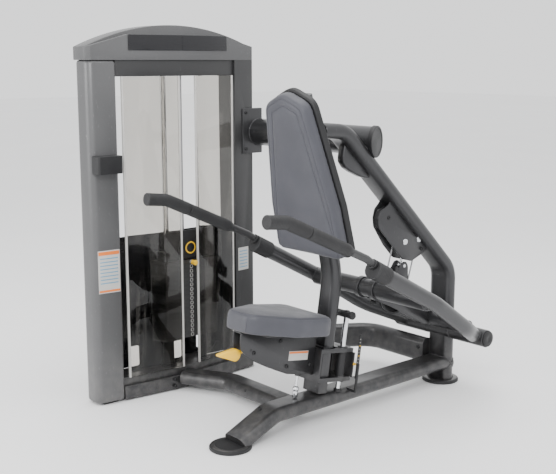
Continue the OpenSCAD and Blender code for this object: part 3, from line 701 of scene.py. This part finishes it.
def frame_tubes():
    slope = tube("upper_frame_tube", [(0, 0, 13), (0, 0, 496), (0, -625.5, 1100), (0, -745, 1108)],
                 110, 115, 57, X_AXIS, "frame", "upper_frame")
    rail = tube("main_rail_tube", [(0, 20, 85), (0, -965, 85), (0, -1130, 14)],
                90, 115, 57, X_AXIS, "frame", "main_rail", floor=2)
    base = tube("base_tube_bent", [(-640, -893, 50), (-450, -795, 50), (-49.5, -795, 50)],
                90, 57, 100, Z_AXIS, "frame", "base_tube")
    brace = tube("rear_brace_tube", [(-48, -36, 127), (-380, -36, 127), (-688, -530, 127)],
                 120, 110, 57, Z_AXIS, "frame", "rear_brace")
    post = tube("back_post_tube", POST, 300, 90, 50, X_AXIS, "frame", "back_post")
    hump = [(-606, 1075), (-622, 1006), (-622, 986), (-602, 962), (-573, 945), (-520, 922), (-475, 912),
            (-445, 930), (-560, 1060)]
    piece("frame_hump", slab(cut_corners(hump, 30), -17, 17, at, 5), "frame", "frame", smooth=50)
    cut_end = [at(-660, CROSS[0] + 57 * c, CROSS[1] + 57 * s) for c, s in around(64)]
    cross = piece("cross_tube_round", skin([cut_end, mitre_ring(57, 12)]), "frame", "frame", "cross_tube")
    flange = box("cross_tube_flange", (-662, -562, 965), (-651, -455, 1158), 3, 3, "frame", "frame")
    rings = [mitre_ring(*ring) for ring in ((57.2, 20), (60, 20), (61, 19), (61, 3), (60, 0.8), (58, 0),
                                            (52, 0), (50.5, 1.6), (30, 1.2), (3, 1.0))]
    piece("cross_tube_end_cap", skin(rings), "black", "frame", "tube_cap", smooth=30)
    for name, first, second in (("post_rail", slope, rail), ("brace_post", brace, slope),
                                ("base_rail", base, rail), ("cross_slope", cross, slope),
                                ("seat_post", post, rail), ("flange", cross, flange)):
        weld(f"weld_{name}", first, second, "frame")


def floor_feet():
    rim = [(0, 0), (73, 0), (77, 1.5), (77, 8), (74.5, 11.5), (70, 13), (58, 13.4), (0, 13.4)]
    top = [(56, 13), (56, 14.2), (69.5, 14.2), (71, 13.2), (71, 12)]
    for name, y in (("rear", 0), ("front", -1152)):
        piece(f"foot_{name}", lathe(rim, at(0, y, 0), Z_AXIS, 72), "rubber", "frame",
              *only(y == 0, "floor_feet"))
        piece(f"foot_{name}_plate", lathe(top, at(0, y, 0), Z_AXIS, 72), "frame", "frame")


def disc(radius, edge, height):
    return [(0, 0), (radius, 0), (radius, height - edge), (radius - edge, height), (0, height)]


def fasteners():
    screws = [((-625.2, -890 + y, z), X_AXIS, 8) for y in (-62, 62) for z in (22, 50)]
    screws += [((-651, -545, z), X_AXIS, 7) for z in (985, 1140)]
    screws += [((-74, -64.5, 141), (0, -1, 0), 9), ((-300, -838, 62), (0, -0.7, 0.714), 8),
               ((-20, -1000, 103), (0.2, -0.6, 0.78), 7)]
    screws += [((28, y, z), X_AXIS, 8) for y, z in ((-378, 752), (-178, 602))]
    for i, (place, axis, radius) in enumerate(screws):
        piece(f"frame_screw_{i}", screw(at(*place), axis, radius), "black", "frame",
              *only(i == 0, "bolts"))


# ---- pulleys and cables ----

STRAND = Vector((0, -0.3, -0.954))
ACROSS = Vector((0, -0.954, 0.3))
REAR_STRAND = Vector((0, -202, 546))
ARM_GROOVE, LOOP = 69, 34.5
ARM_WHEEL = REAR_STRAND + STRAND * 150 + ACROSS * ARM_GROOVE
TOP_WHEEL = REAR_STRAND - STRAND * 70 + ACROSS * (2 * ARM_GROOVE - LOOP)
THIMBLE = ARM_WHEEL - STRAND * (ARM_GROOVE + 66)
ENTRY = Vector((0, -169, 651))
# The stack's cable hangs from a height and may shorten by its lift
HANG, LIFT = 1370, 360


def wheel(name, node, groove):
    """A moulded cable wheel: rim with a groove, thin web, hub and a ring of rivets."""
    body = frame["nodes"][node]["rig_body"]
    joint = JOINTS[body + "_turn"]
    place, axis = Vector(joint["pos_m"]), Vector(joint["axis"])
    bore, rim = 8.05, groove + 7
    half = [(bore, 11), (bore + 7, 11), (bore + 8, 10), (bore + 8, 4), (rim - 12, 4), (rim - 10, 5),
            (rim - 10, 10), (rim - 9, 11), (rim - 1, 11), (rim, 10), (groove + 5, 3.8), (groove - 2, 2.4)]
    profile = [(r, -h) for r, h in half] + [(groove - 3.2, 0)] + half[::-1]
    piece(name, lathe(profile, place, axis, 72), "black", body, node, smooth=30)
    if rim - bore > 40:
        turn = axis.to_track_quat("Z", "Y").to_matrix()
        middle = (bore + 8 + rim - 11) / 2
        rivet = [(0, 4), (5, 4), (5.6, 4.8), (0, 5)]
        parts = [lathe(rivet, place + turn @ Vector((middle * c, middle * s, 0)) * MM, axis, 20)
                 for c, s in around(5)]
        dress(joined(name + "_rivets", parts), "chrome", body)


def line_points(start, end, count):
    return [Vector(start).lerp(Vector(end), k / (count - 1)) for k in range(count)]


def cable(name, points, body, *nodes):
    """A round cable through points in millimetres, one ring to each point."""
    rings, x = [], Vector((1, 0.02, 0.03))
    for i, p in enumerate(points):
        run = (points[min(i + 1, len(points) - 1)] - points[max(i - 1, 0)]).normalized()
        x, y = squared(x, run)
        rings.append([at(*q) for q in circle(p, x, y, 3.2, 14)])
    return piece(name, skin(rings), "steel", body, *nodes, smooth=60)


def cables():
    half = [math.pi * k / 24 for k in range(25)]
    strands = [("strand_lead", ENTRY + STRAND * 8, ARM_WHEEL - ACROSS * ARM_GROOVE),
               ("strand_return", TOP_WHEEL + ACROSS * LOOP, ARM_WHEEL + ACROSS * ARM_GROOVE),
               ("strand_end", TOP_WHEEL - ACROSS * LOOP, THIMBLE)]
    for i, (name, top, bottom) in enumerate(strands):
        ob = cable(name, line_points(top, bottom, 40), "frame", *only(i == 0, "arm_cable"))
        ob.parent = None
        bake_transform(ob, "frame", "press_arm", at(*top), at(*bottom))
    cable("cable_turn_arm", [ARM_WHEEL - ACROSS * ARM_GROOVE * math.cos(a) + STRAND * ARM_GROOVE * math.sin(a)
                             for a in half], "press_arm")
    cable("cable_turn_top", [TOP_WHEEL + ACROSS * LOOP * math.cos(a) - STRAND * LOOP * math.sin(a)
                             for a in half], "frame")
    route = rounded_path([(*STACK, HANG), (*STACK, 1410), (-742, -510, 1410), (-742, -510, 1022),
                          (0, -500, 1022), ENTRY, ENTRY + STRAND * 10], 24)
    cable("cable_over_wheels", [p for p, _ in route], "frame", "frame_cable")
    head = STACK_TOP + 38
    stack = cable("cable_to_stack", line_points((*STACK, head), (*STACK, HANG), 24), "frame", "stack_cable")
    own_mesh(stack)
    ferrule = [(3.2, 0), (5.2, 0.6), (5.6, 3), (5.6, 22), (4.8, 25.5), (3.2, 26)]
    piece("cable_ferrule", lathe(ferrule, at(*(THIMBLE - STRAND * 27)), STRAND, 32), "chrome", "press_arm")
    ring = [(10 + 2.5 * c, 2.5 * s) for c, s in around(16)]
    piece("cable_thimble", lathe(ring, at(*(THIMBLE + STRAND * 9)), X_AXIS, 48), "chrome", "press_arm",
          smooth=80)


def pulley_housing():
    outline = [(-365, 822), (-381, 803), (-421, 783), (-438, 749), (-429, 713), (-350, 632), (-291, 573),
               (-236, 558), (-177, 579), (-112, 612), (-150, 640), (-245, 712)]
    # The far plate's lobe is cut back
    short = [(max(y, 0.55 * y - 172), z) for y, z in outline]
    for (s, side), points in zip(SIDES, (outline, short)):
        side_plate("housing_plate", cut_corners(points, 30), s, side, 23, 28, at, "frame",
                   "pulley_housing")
    rim = cut_corners([(-378, 795), (-421, 783), (-438, 749), (-429, 713), (-419, 715), (-428, 748),
                       (-415, 774), (-378, 785)], 14)
    piece("housing_edge", slab(rim, 2, 22.8, at, 1.5), "black", "frame", smooth=50)
    for place in (TOP_WHEEL, Vector(JOINTS["housing_wheel_turn"]["pos_m"]) / MM - FOOT / MM):
        for s, side in SIDES:
            piece(f"housing_axle_{round(-place.y)}_{side}",
                  lathe(disc(13, 2, 5), at(s * 28, place.y, place.z), (s, 0, 0), 40), "chrome", "frame")
    bevelled("pulley_axles", 0.6, "chrome")


# ---- press arm ----

PIVOT = at(0, 0, 233)
ARM_BAR = at(0, -450, 475)
ARM_PATH = [(175, 0, 233), (285, -190, 318), (312, -420, 464), (320, -735, 630)]


def press_arm():
    piece("pivot_shaft_bar", rod(15, at(-243, 0, 233), at(243, 0, 233), 1.5), "chrome", "frame",
          "pivot_shaft")
    piece("pivot_barrel", lathe(hollow(15.2, 36, 2, -63, 63), PIVOT, X_AXIS, 64), "frame", "frame")
    cross = piece("arm_tube_front", rod(35, at(-300, -450, 475), at(300, -450, 475), 2, 64), "frame",
                  "press_arm", "arm_cross_tubes")
    rear = piece("arm_tube_rear", rod(28, at(-220, -98, 296), at(220, -98, 296), 2, 56), "frame", "press_arm")
    washer = [(15.2, 240), (29, 240), (30, 241), (29, 242), (15.2, 242)]
    cap = [(0, 242), (32, 242), (33, 243.5), (32, 246), (27, 248.4), (12, 249.2), (10, 248), (0, 248)]
    for s, side in SIDES:
        outward = (s, 0, 0)
        hub = piece(f"hub_{side}", lathe(hollow(15.2, 36, 2, 64, 240), PIVOT, outward, 64), "frame",
                    "press_arm", *only(s > 0, "arm_hubs"))
        piece(f"hub_washer_{side}", lathe(washer, PIVOT, outward, 48), "chrome", "frame")
        piece(f"hub_cap_{side}", lathe(cap, PIVOT, outward, 56), "black", "frame")
        arm = tube(f"arm_tube_{side}", [(s * x, y, z) for x, y, z in ARM_PATH], 250, 60, 60, None,
                   "press_arm", f"{side}_arm")
        piece(f"arm_collar_{side}", lathe(hollow(35.1, 42, 1, 28, 50), ARM_BAR, outward, 56),
              "frame", "press_arm")
        weld(f"weld_arm_hub_{side}", arm, hub, "press_arm")
        weld(f"weld_arm_cross_{side}", cross, arm, "press_arm")
        weld(f"weld_arm_rear_{side}", rear, arm, "press_arm")
    spine = [(-482, 486), (-470, 508), (-440, 514), (-340, 500), (-300, 540), (-286, 560), (-262, 560),
             (-252, 540), (-250, 470), (-200, 420), (-75, 318), (-72, 286), (-98, 268), (-150, 280),
             (-330, 376), (-440, 430), (-478, 452)]
    for s, side in SIDES:
        plate = side_plate("spine_plate", cut_corners(spine, 24), s, side, 18, 24, at, "press_arm",
                           "arm_spine")
        weld(f"weld_spine_{side}", plate, cross, "press_arm", 2.6)
        piece(f"arm_axle_head_{side}", lathe(disc(14, 2, 5), at(s * 24, ARM_WHEEL.y, ARM_WHEEL.z),
                                             (s, 0, 0), 40), "chrome", "press_arm")
    pin = THIMBLE + STRAND * 9
    for name, radius, half, place in (("arm_axle", 8, 24, ARM_WHEEL), ("thimble_pin", 7, 26, pin)):
        piece(name, rod(radius, at(-half, place.y, place.z), at(half, place.y, place.z)), "chrome",
              "press_arm")
    box("arm_stop_block", (-15, -428, 408), (15, -390, 440), 2.5, 3, "rubber", "press_arm", "arm_stop")
    bumper = [(0, 0), (9, 0), (10, 2), (10, 8), (8, 11.5), (4, 13), (0, 13.2)]
    for i, z in enumerate((414, 434)):
        piece(f"arm_stop_bumper_{i}", lathe(bumper, at(0, -428, z), (0, -1, 0), 36), "rubber", "press_arm")


GRIP_PATH = [(0, 14, 40), (0, 20, 90), (0, 2, 395), (0, -5, 500), (0, -34, 575)]


def ribs(low, high, radius, pitch, groove, depth):
    """A radius along a grip that drops into a groove once every pitch, between two distances."""
    def radius_at(d):
        return radius - (depth if low < d < high and (d - low) % pitch < groove else 0)
    return radius_at


def handle(s, side):
    """Ribbed sleeve on the arm, thin neck, a long grip and an end grip that levels out."""
    end, before = Vector(ARM_PATH[3]), Vector(ARM_PATH[2])
    run = (end - before).normalized()
    out = run.cross(Vector(Z_AXIS)).normalized()
    up = out.cross(run)
    body = f"{side}_handle"

    def place(x, y, z):
        p = end + out * x + up * y + run * z
        return at(s * p.x, p.y, p.z)

    def grip_piece(part, mesh, look, *nodes, smooth=38):
        piece(f"{side}_handle_{part}", mesh, look, body, *nodes, smooth=smooth)

    shape = ribs(12, 74, 34, 8, 3.2, 1.1)
    grip_piece("sleeve", turned([(0, 0, -40), (0, 0, 46)], 10,
                                lambda d: 31.5 if d < 3 or d > 83 else shape(d), 1.6, place),
               "rubber", body, smooth=28)
    grip_piece("neck", sweep(GRIP_PATH[:3], 40, oval(28, 28), X_AXIS, place), "black_steel")
    grip_piece("nut", turned([(0, 14.5, 45), (0, 16, 57)], 10, lambda d: 18.5 if 1.2 < d < 11 else 17, 1,
                             place), "black")
    low, high, turn_at, tip = (Vector(p) for p in GRIP_PATH[1:])
    start = low.lerp(high, 0.28)
    length = (high - start).length
    rib = ribs(34, length - 12, 22.4, 6, 2.2, 0.7)

    def long_radius(d):
        if d < 26:
            return 14.6 + 7.8 * math.sin(math.pi / 2 * d / 26)
        return rib(d) if d < length - 3 else 21

    grip_piece("grip", turned([start, high], 10, long_radius, 1.5, place), "rubber", smooth=28)
    seam = high + (high - start).normalized() * 2
    grip_piece("gap", turned([high, seam], 10, lambda d: 19.5, 1, place), "black_steel")
    whole = (turn_at - seam).length + (tip - turn_at).length
    rib_end = ribs(14, whole - 14, 23, 6, 2.2, 0.7)
    grip_piece("end_grip", turned([seam, turn_at, tip], 34,
                                  lambda d: 22 if d < 2 or d > whole - 4 else rib_end(d), 1.5, place),
               "rubber", smooth=28)
    cap = [(0, -3), (22.6, -3), (23.4, -2), (23.4, 2.2), (22, 4), (17, 4.8), (15, 4.0), (0, 4.0)]
    grip_piece("cap", lathe(cap, place(*tip), place(*tip) - place(*turn_at), 48), "black")


frame_tubes()
floor_feet()
fasteners()
for name, groove in (("tower", 40), ("corner", 40), ("drop", 40), ("housing", 25), ("return", LOOP),
                     ("arm", ARM_GROOVE)):
    wheel(f"{name}_wheel_moulding", f"{name}_pulley", groove)
cables()
pulley_housing()
press_arm()
for s, side in SIDES:
    handle(s, side)


# ---- weight tower ----

# The middle of the tower's face, which falls back to both sides
FACE = (-625, -890)
FACE_SLOPE = math.tan(math.radians(5.6))


def tower():
    # The rear pillar takes the darker copy of the pillar paint, which is painted shade.
    for node, width, look in (
            ("front_pillar", 13, "pillar"), ("rear_pillar", 6, "pillar_painted_shade"), ("bottom_rail", 3, "frame"),
            ("inner_bands", 1.6, "black_steel"), ("header_front", 6, "pillar"), ("header_arch", 4, "pillar"),
            ("placard", 1.6, "gloss"), ("front_shield", 0.8, "clear"), ("rear_shield", 0.8, "clear"),
            ("shield_trims", 1.2, "white"), ("infill_panel", 1.0, "gloss"), ("rubber_feet", 2.5, "rubber"),
            ("accessory_box", 5, "black"), ("label_plates", 0.5, "white")):
        bevelled(node, width, look, segments=3)
    stripes = [("orange", (-386, -298, 612, 626)), ("orange", (-386, -298, 464, 472))]
    stripes += [("blue", (-380, -304, 596 - 14 * k, 600 - 14 * k)) for k in range(8)]
    stripes += [("blue", (306, 354, 470 + 14 * k, 474 + 14 * k)) for k in range(6)]
    for i, (look, (m0, m1, z0, z1)) in enumerate(stripes):
        box(f"label_stripe_{i}", (1.4, m0, z0), (2.1, m1, z1), 0.25, 2, look, "frame",
            place=lambda x, m, z: at(FACE[0] - abs(m) * FACE_SLOPE + x, FACE[1] + m, z))
    box("accessory_box_mouth", (-668, -1282, 996), (-620, -1192, 1001), 1.5, 3, "black_steel", "frame")


def weight_stack():
    stand = [(11.4, 0), (30, 0), (31, 1.5), (31, 10), (28, 12), (22.5, 14), (22, 40), (22, 108),
             (20, 113), (11.4, 113)]
    for s, side in ((-1, "front"), (1, "rear")):
        x, y = STACK[0], STACK[1] + s * 95
        piece(f"guide_rod_{side}", rod(11, at(x, y, 95), at(x, y, 1328), 2), "chrome", "frame",
              *only(s < 0, "guide_rods"))
        piece(f"stack_stand_{side}", lathe(stand, at(x, y, 95.2), Z_AXIS, 48), "rubber", "frame",
              *only(s < 0, "stack_stand"))
        piece(f"guide_rod_collar_{side}", lathe(hollow(11.2, 21, 1, 0, 16), at(x, y, 1311), Z_AXIS, 40),
              "black", "frame")
    bevelled("stack_plates", 1.4, "iron")
    bevelled("lifted_plate", 1.2, "iron")

    def on_stack(name, profile, x, z, steps, look, body):
        piece(name, lathe(profile, at(STACK[0] + x, STACK[1], z), X_AXIS, steps), look, body)

    ring = [(5.8, 0), (7.6, 0), (7.8, 0.4), (7.6, 0.9), (5.8, 0.9)]
    for k in range(PLATES + 1):
        on_stack(f"plate_ring_{k}", ring, 54.1, STACK_Z + PLATE_T / 2 + k * PITCH, 28, "white",
                 "stack_lift" if k == PLATES else "frame")
    bevelled("head_cover", 1.4, "black")
    badge = [(19.5, 0), (25, 0), (26, 0.8), (26, 2.4), (24.5, 3.4), (21, 3.4), (19.5, 2.4)]
    on_stack("head_cover_ring", badge, 48.4, STACK_TOP + 50, 48, "yellow", "stack_lift")
    pin_z = STACK_TOP - PLATE_T / 2
    piece("selector_shank", rod(5, at(STACK[0] - 13, STACK[1], pin_z), at(STACK[0] + 66, STACK[1], pin_z),
                                1.2, 32), "chrome", "selector_pin", "selector_pin")
    knob = [(0, 0), (8.5, 0), (9.5, 1), (9.5, 4), (7.6, 7), (7.2, 11), (9, 15), (11, 18), (11.2, 21),
            (9.8, 23.4), (6, 24.4), (0, 24.6)]
    on_stack("selector_knob", knob, 64, pin_z, 48, "yellow", "selector_pin")


# ---- seat and its slide ----

LEVER = (-448, 170)
SPRING_Y = -184
LEAF, LEAF_R, LEAF_TIP = Vector((-503, 152)), 22, 74


def seat_lathe(profile, place, steps, axis=Z_AXIS):
    """lathe() with its place and axis in the frame that leans with the seat's guide rods."""
    return lathe(profile, seat_at(*place), SEAT.to_3x3() @ Vector(axis), steps)


def seat_slide():
    bevelled("seat_column", 3, "frame", segments=3)
    bevelled("seat_carriage", 2, "frame", segments=3)
    cheek = cut_corners([(-130, 60), (-130, 236), (-502, 236), (-500, 205), (-494, 172), (-466, 152),
                         (-387, 116), (-322, 92), (-261, 74), (-196, 69), (-150, 70)], 22)
    foot = [(10.2, -14), (14, -14), (15, -13), (15, -1.5), (13, 0), (10.2, 0)]
    top = [(0, 10), (9, 10), (11, 12), (11, 14), (9, 15.5), (0, 16)]
    lip = [(10.3, -3), (18.6, -3), (19.4, -1.6), (19.4, 1.6), (18.6, 3), (10.3, 3)]
    sleeve = [(12, 0), (18.4, 0), (18.6, 1), (18.6, 89), (18.4, 90), (12, 90)]
    knob = [(0, 0), (13.6, 0), (15.4, 1), (15.8, 5), (15.2, 12), (12, 16), (6, 17.6), (0, 18)]
    for s, side in SIDES:
        side_plate("seat_cheek", cheek, s, side, 18, 24, seat_at, "seat", "seat_shroud")
        outward = SEAT.to_3x3() @ Vector((s, 0, 0))
        for i, (y, z) in enumerate(((-433, 160), (-310, 200), (-266, 103), (-151, 105))):
            piece(f"seat_screw_{side}_{i}", screw(seat_at(s * 24, y, z), outward, 8), "black", "seat")
        piece(f"seat_rod_{side}", rod(10, seat_at(s * 38, 0, 6), seat_at(s * 38, 0, 300)), "chrome", "frame",
              *only(s > 0, "seat_rods"))
        for part, profile, z, steps, body in (("rod_foot", foot, 8, 36, "frame"),
                                              ("rod_top", top, 296, 36, "frame"),
                                              ("bearing_lower", lip, 40, 40, "seat"),
                                              ("bearing_upper", lip, 168, 40, "seat"),
                                              ("bearing_tube", sleeve, 59, 40, "seat")):
            piece(f"seat_{part}_{side}", seat_lathe(profile, (s * 38, 0, z), steps), "black", body)
        piece(f"seat_bar_cap_{side}", seat_lathe(knob, (s * 60, 0, 296), 40, (s, 0, 0)), "rubber", "frame")
    piece("seat_top_bar", rod(14, seat_at(-66, 0, 296), seat_at(66, 0, 296), 2), "black_steel", "frame")
    for name, low, high, width, segments, look, body in (
            ("seat_top_arm", (-20, -44, 287), (20, 0, 305), 3, 3, "black_steel", "frame"),
            ("seat_plate", (-90, -440, 230), (90, -150, 236), 1.6, 3, "black_steel", "seat"),
            ("seat_plate_nose", (-21, -500, 230), (21, -430, 235.6), 1.6, 3, "black_steel", "seat"),
            ("seat_label", (23.9, -262, 124), (24.7, -166, 159), 0.3, 2, "white", "seat"),
            ("seat_label_strip", (24.5, -260, 150), (25.1, -168, 157), 0.2, 2, "orange", "seat")):
        box(name, low, high, width, segments, look, body, place=seat_at)


def gas_spring():
    body = [(5.2, 0), (9, 0), (10.4, 1.2), (10.6, 5), (12, 6.5), (12, 160), (11, 166), (8, 169), (5.2, 169.4)]
    piece("gas_spring_body", seat_lathe(body, (0, SPRING_Y, 58), 48), "black_steel", "seat", "gas_body")
    piece("gas_spring_rod", rod(5, seat_at(0, SPRING_Y, 14), seat_at(0, SPRING_Y, 176), 0.6, 36),
          "chrome", "frame", "gas_rod")
    eye = [(0, -12)] + [(12 * math.sin(math.pi * k / 12), -12 * math.cos(math.pi * k / 12))
                        for k in range(1, 12)] + [(0, 12)]
    piece("gas_spring_ball", seat_lathe(eye, (0, SPRING_Y, 8), 36), "chrome", "frame", smooth=80)
    stud = [(0, -30), (9, -30), (9.6, -29), (9.6, -8), (8, -6), (0, -6)]
    piece("gas_spring_stud", seat_lathe(stud, (0, SPRING_Y, 6), 36), "chrome", "frame")


def height_scale():
    bevelled("scale_strip", 1.0, "black")
    for k in range(12):
        wide, look = (9, "yellow") if k % 3 == 0 else (5, "white")
        box(f"scale_mark_{k}", (80.8, 46, 62 + 13 * k), (81.4, 46 + wide, 64.4 + 13 * k), 0.2, 2, look,
            "frame", place=seat_at)
    pointer = cut_corners([(36, 102), (52, 106), (60, 108), (52, 110), (36, 114)], 3)
    piece("scale_pointer", slab(pointer, 72, 75, seat_at, 0.6), "yellow", "seat")
    box("scale_pointer_stem", (56, 35, 103), (75, 39.6, 113), 1, 2, "yellow", "seat", place=seat_at)


def lever():
    arc = [LEAF + Vector((math.cos(math.radians(a)), math.sin(math.radians(a)))) * LEAF_R
           for a in range(-105, 106, 10)]
    leaf = [LEAF + Vector((x - LEAF_TIP, z)) for x, z in ((3, 4), (0, 0), (3, -4))] + arc
    piece("seat_lever_paddle", slab(leaf, -13, 13, seat_at, 3.5), "yellow", "seat_lever", "seat_lever",
          smooth=60)
    piece("seat_lever_barrel", lathe(hollow(5.1, 10, 1, -17, 17), seat_at(0, *LEVER), X_AXIS, 40), "yellow",
          "seat_lever")
    piece("seat_lever_stem", rod(7, seat_at(0, LEVER[0] - 8, LEVER[1] - 2.6),
                                 seat_at(0, LEAF.x + 12, LEAF.y + 4)), "yellow", "seat_lever")
    piece("seat_lever_pin", rod(5, seat_at(-25, *LEVER), seat_at(25, *LEVER)), "black", "seat")


tower()
weight_stack()
seat_slide()
gas_spring()
height_scale()
lever()


# ---- upholstery ----

BACK_CORNERS = [(146, 86, 28), (108, 240, 60), (56, 588, 52), (0, 597, 66)]
SEAT_CORNERS = [(96, -212, 52), (78, -330, 70), (30, -450, 60)]
# The cloth's grid and the most that it may move, in millimetres, its pressure, and its frames
VOXEL, SWELL, PRESSURE, FRAMES = 5.0, 5.0, 4.0, 20


def pad_outline(corners, grow, count=150):
    """The tight outline round circles on both sides of the middle, in even steps."""
    cloud = [Vector((side * x + (r + grow) * c, y + (r + grow) * s))
             for side in (-1, 1) for x, y, r in corners for c, s in around(64)]
    hull = [cloud[i] for i in geometry.convex_hull_2d(cloud)]
    lengths = [(b - a).length for a, b in zip(hull, hull[1:] + hull[:1])]
    step, out, walked, i = sum(lengths) / count, [], 0.0, 0
    for k in range(count):
        while walked + lengths[i] < k * step:
            walked += lengths[i]
            i += 1
        t = (k * step - walked) / lengths[i]
        out.append(hull[i].lerp(hull[(i + 1) % len(hull)], t))
    return out


def band_line(corners, grow, cut, foot):
    """The part of an inner outline above a height, with both of its ends run straight down to a foot."""
    ring = [p for p in pad_outline(corners, grow, 240) if p.y > cut]
    split = max(range(len(ring)), key=lambda i: (ring[i] - ring[i - 1]).length)
    line = ring[split:] + ring[:split]
    ends = []
    for p, q in ((line[0], line[6]), (line[-1], line[-7])):
        run = (p - q) / (p.y - q.y)
        ends.append([p + run * (foot - p.y) * k / 24 for k in range(1, 25)])
    return list(reversed(ends[0])) + line + ends[1]


def cushion(name, corners, profile, place, grow=0):
    """A pad with one outline and a profile of (inset, depth); place turns (x, y, depth) into a point."""
    rings = [[place(p.x, p.y, depth) for p in pad_outline(corners, grow - inset)] for inset, depth in profile]
    return link(name, *skin(rings))


def stuffed(ob, held):
    """Blows a pad up a little as cloth, with some of its surface held."""
    mod = ob.modifiers.new("grid", "REMESH")
    mod.mode = "VOXEL"
    mod.voxel_size = VOXEL * MM
    applied(ob)
    ob.modifiers.new("ease", "SMOOTH").iterations = 4
    applied(ob)
    rest = [v.co.copy() for v in ob.data.vertices]
    group = ob.vertex_groups.new(name="held")
    group.add([i for i, co in enumerate(rest) if held(co)], 1.0, "REPLACE")
    cloth = ob.modifiers.new("cloth", "CLOTH")
    for setting, value in (("quality", 5), ("mass", 0.4), ("tension_stiffness", 12),
                           ("compression_stiffness", 12), ("use_pressure", True),
                           ("uniform_pressure_force", PRESSURE), ("vertex_group_mass", "held")):
        setattr(cloth.settings, setting, value)
    cloth.settings.effector_weights.gravity = 0
    cloth.point_cache.frame_start = 1
    cloth.point_cache.frame_end = FRAMES
    for number in range(1, FRAMES + 1):
        bpy.context.scene.frame_set(number)
    applied(ob)
    for vert, co in zip(ob.data.vertices, rest):
        shift = vert.co - co
        if shift.length > SWELL * MM:
            vert.co = co + shift.normalized() * SWELL * MM
    ob.vertex_groups.clear()
    bpy.context.scene.frame_set(1)


def pressed_seam(ob, lines, depth, reach):
    """Draws the surface in along seam lines: a soft valley on both sides of each stitch line."""
    near = kdtree.KDTree(sum(len(line) for line in lines))
    for i, p in enumerate(p for line in lines for p in line):
        near.insert(p, i)
    near.balance()
    normals = [n.vector.copy() for n in ob.data.vertex_normals]
    for vert, normal in zip(ob.data.vertices, normals):
        _, _, distance = near.find(vert.co)
        t = distance / (reach * MM)
        if t < 1:
            vert.co -= normal * depth * MM * (1 - t * t) ** 2


def on_surface(ob, points, direction, lift=0.0):
    """Drops row-frame points along a direction onto a surface, then lifts them off it a little."""
    tree = BVHTree.FromObject(ob, bpy.context.evaluated_depsgraph_get())
    hits = (tree.ray_cast(p - direction * 0.3, direction) for p in points)
    return [hit + normal * lift * MM for hit, normal, _, _ in hits if hit]


def thread(points):
    """Short stitches that dip into the cover at both ends, along row-frame points in 1 mm steps."""
    parts, stitch, gap = [], 5, 2
    for i in range(0, len(points) - stitch, stitch + gap):
        run = points[i:i + stitch + 1]
        rings = []
        for k, p in enumerate(run):
            ahead = (run[min(k + 1, stitch)] - run[max(k - 1, 0)]).normalized()
            x = ahead.orthogonal().normalized()
            thick = 0.55 * MM * (0.55 + 0.45 * math.sin(math.pi * k / stitch))
            rings.append(circle(p, x, ahead.cross(x), thick, 6))
        parts.append(skin(rings))
    return parts


def stitched(name, ob, lines, direction, body):
    """A seam's welt and its row of stitches along lines that lie on a pad."""
    tracks = [on_surface(ob, finer(line, 1.0), direction, 0.25) for line in lines]
    tracks = [track for track in tracks if len(track) >= 12]
    stitches = [part for track in tracks for part in thread([p - direction * 0.9 * MM for p in track])]
    welts = [bead(track, False, 1.15, 3.0) for track in tracks]
    for part, meshes in (("welt", welts), ("stitches", stitches)):
        dress(joined(f"{name}_{part}", meshes), "thread", body, smooth=80)


def upholstered(pad, outline, flat, held_at, press, lines, facing, seam, body, node):
    """Swells a pad as cloth, presses its seams, covers it and sews it. flat turns a point into
    (across, along, depth) in millimetres. The cloth is held below the first depth of held_at, and
    above its second one within its last distance of the outline."""
    near = kdtree.KDTree(len(outline))
    for i, p in enumerate(outline):
        near.insert((p.x, p.y, 0), i)
    near.balance()
    base, top, reach = held_at

    def held(co):
        x, y, depth = flat(co)
        return depth < base or (depth > top and near.find((x, y, 0))[2] < reach)

    stuffed(pad, held)
    pressed_seam(pad, [on_surface(pad, finer(line, 2.0), facing) for line in lines], *press)
    pad.modifiers.new("finer", "SUBSURF").levels = 1
    applied(pad)
    dress(pad, "vinyl", body, node, smooth=60)
    stitched(seam, pad, lines, facing, body)


def back_place(x, up, depth):
    return BACK @ (Vector((x, -depth, up)) * MM)


def back_rest():
    shell = [(9, 2), (2, 2.6), (0, 5), (0, 20), (1.4, 24), (4, 26), (12, 26.2)]
    dress(cushion("back_shell", BACK_CORNERS, shell, back_place, 8), "black", "frame", "back_board")
    profile = [(14, 26.4), (3, 26.6), (0.5, 29), (0, 36), (0, 54), (1.2, 62), (4.5, 68), (10, 72), (18, 73.6),
               (30, 74), (50, 74.4)]
    pad = cushion("back_pad", BACK_CORNERS, profile, back_place)
    bands = [band_line(BACK_CORNERS, -inset, 170, 64) for inset in (17, 42)]
    to_local = BACK.inverted()

    def flat(co):
        p = to_local @ co / MM
        return p.x, p.z, -p.y

    upholstered(pad, [p for line in bands for p in line], flat, (40, 60, 5), (2.2, 10),
                [[back_place(p.x, p.y, 74) for p in line] for line in bands],
                (BACK.to_3x3() @ Vector((0, 1, 0))).normalized(), "back_seam", "frame", "backrest_pad")


def seat_cushion():
    profile = [(16, 236.6), (4, 236.8), (0.8, 239), (0, 246), (0, 286), (1.2, 295), (4.5, 301.5),
               (10, 305.5), (18, 307.5), (30, 308), (48, 308.4)]
    pad = cushion("seat_pad_cover", SEAT_CORNERS, profile, seat_at)
    rim = pad_outline(SEAT_CORNERS, -9, 200)
    to_local = SEAT.inverted()
    upholstered(pad, rim, lambda co: to_local @ co / MM, (250, 296, 4), (1.8, 8),
                [[seat_at(p.x, p.y, 306) for p in rim + rim[:1]]],
                -(SEAT.to_3x3() @ Vector(Z_AXIS)).normalized(), "seat_seam", "seat", "seat_pad")
    inward = (SEAT.to_3x3() @ Vector((-0.75, 0.66, 0))).normalized()
    nose = [seat_at(62, -516, z) for z in range(246, 300, 2)]
    stitched("seat_nose_seam", pad, [nose], inward, "seat")


back_rest()
seat_cushion()
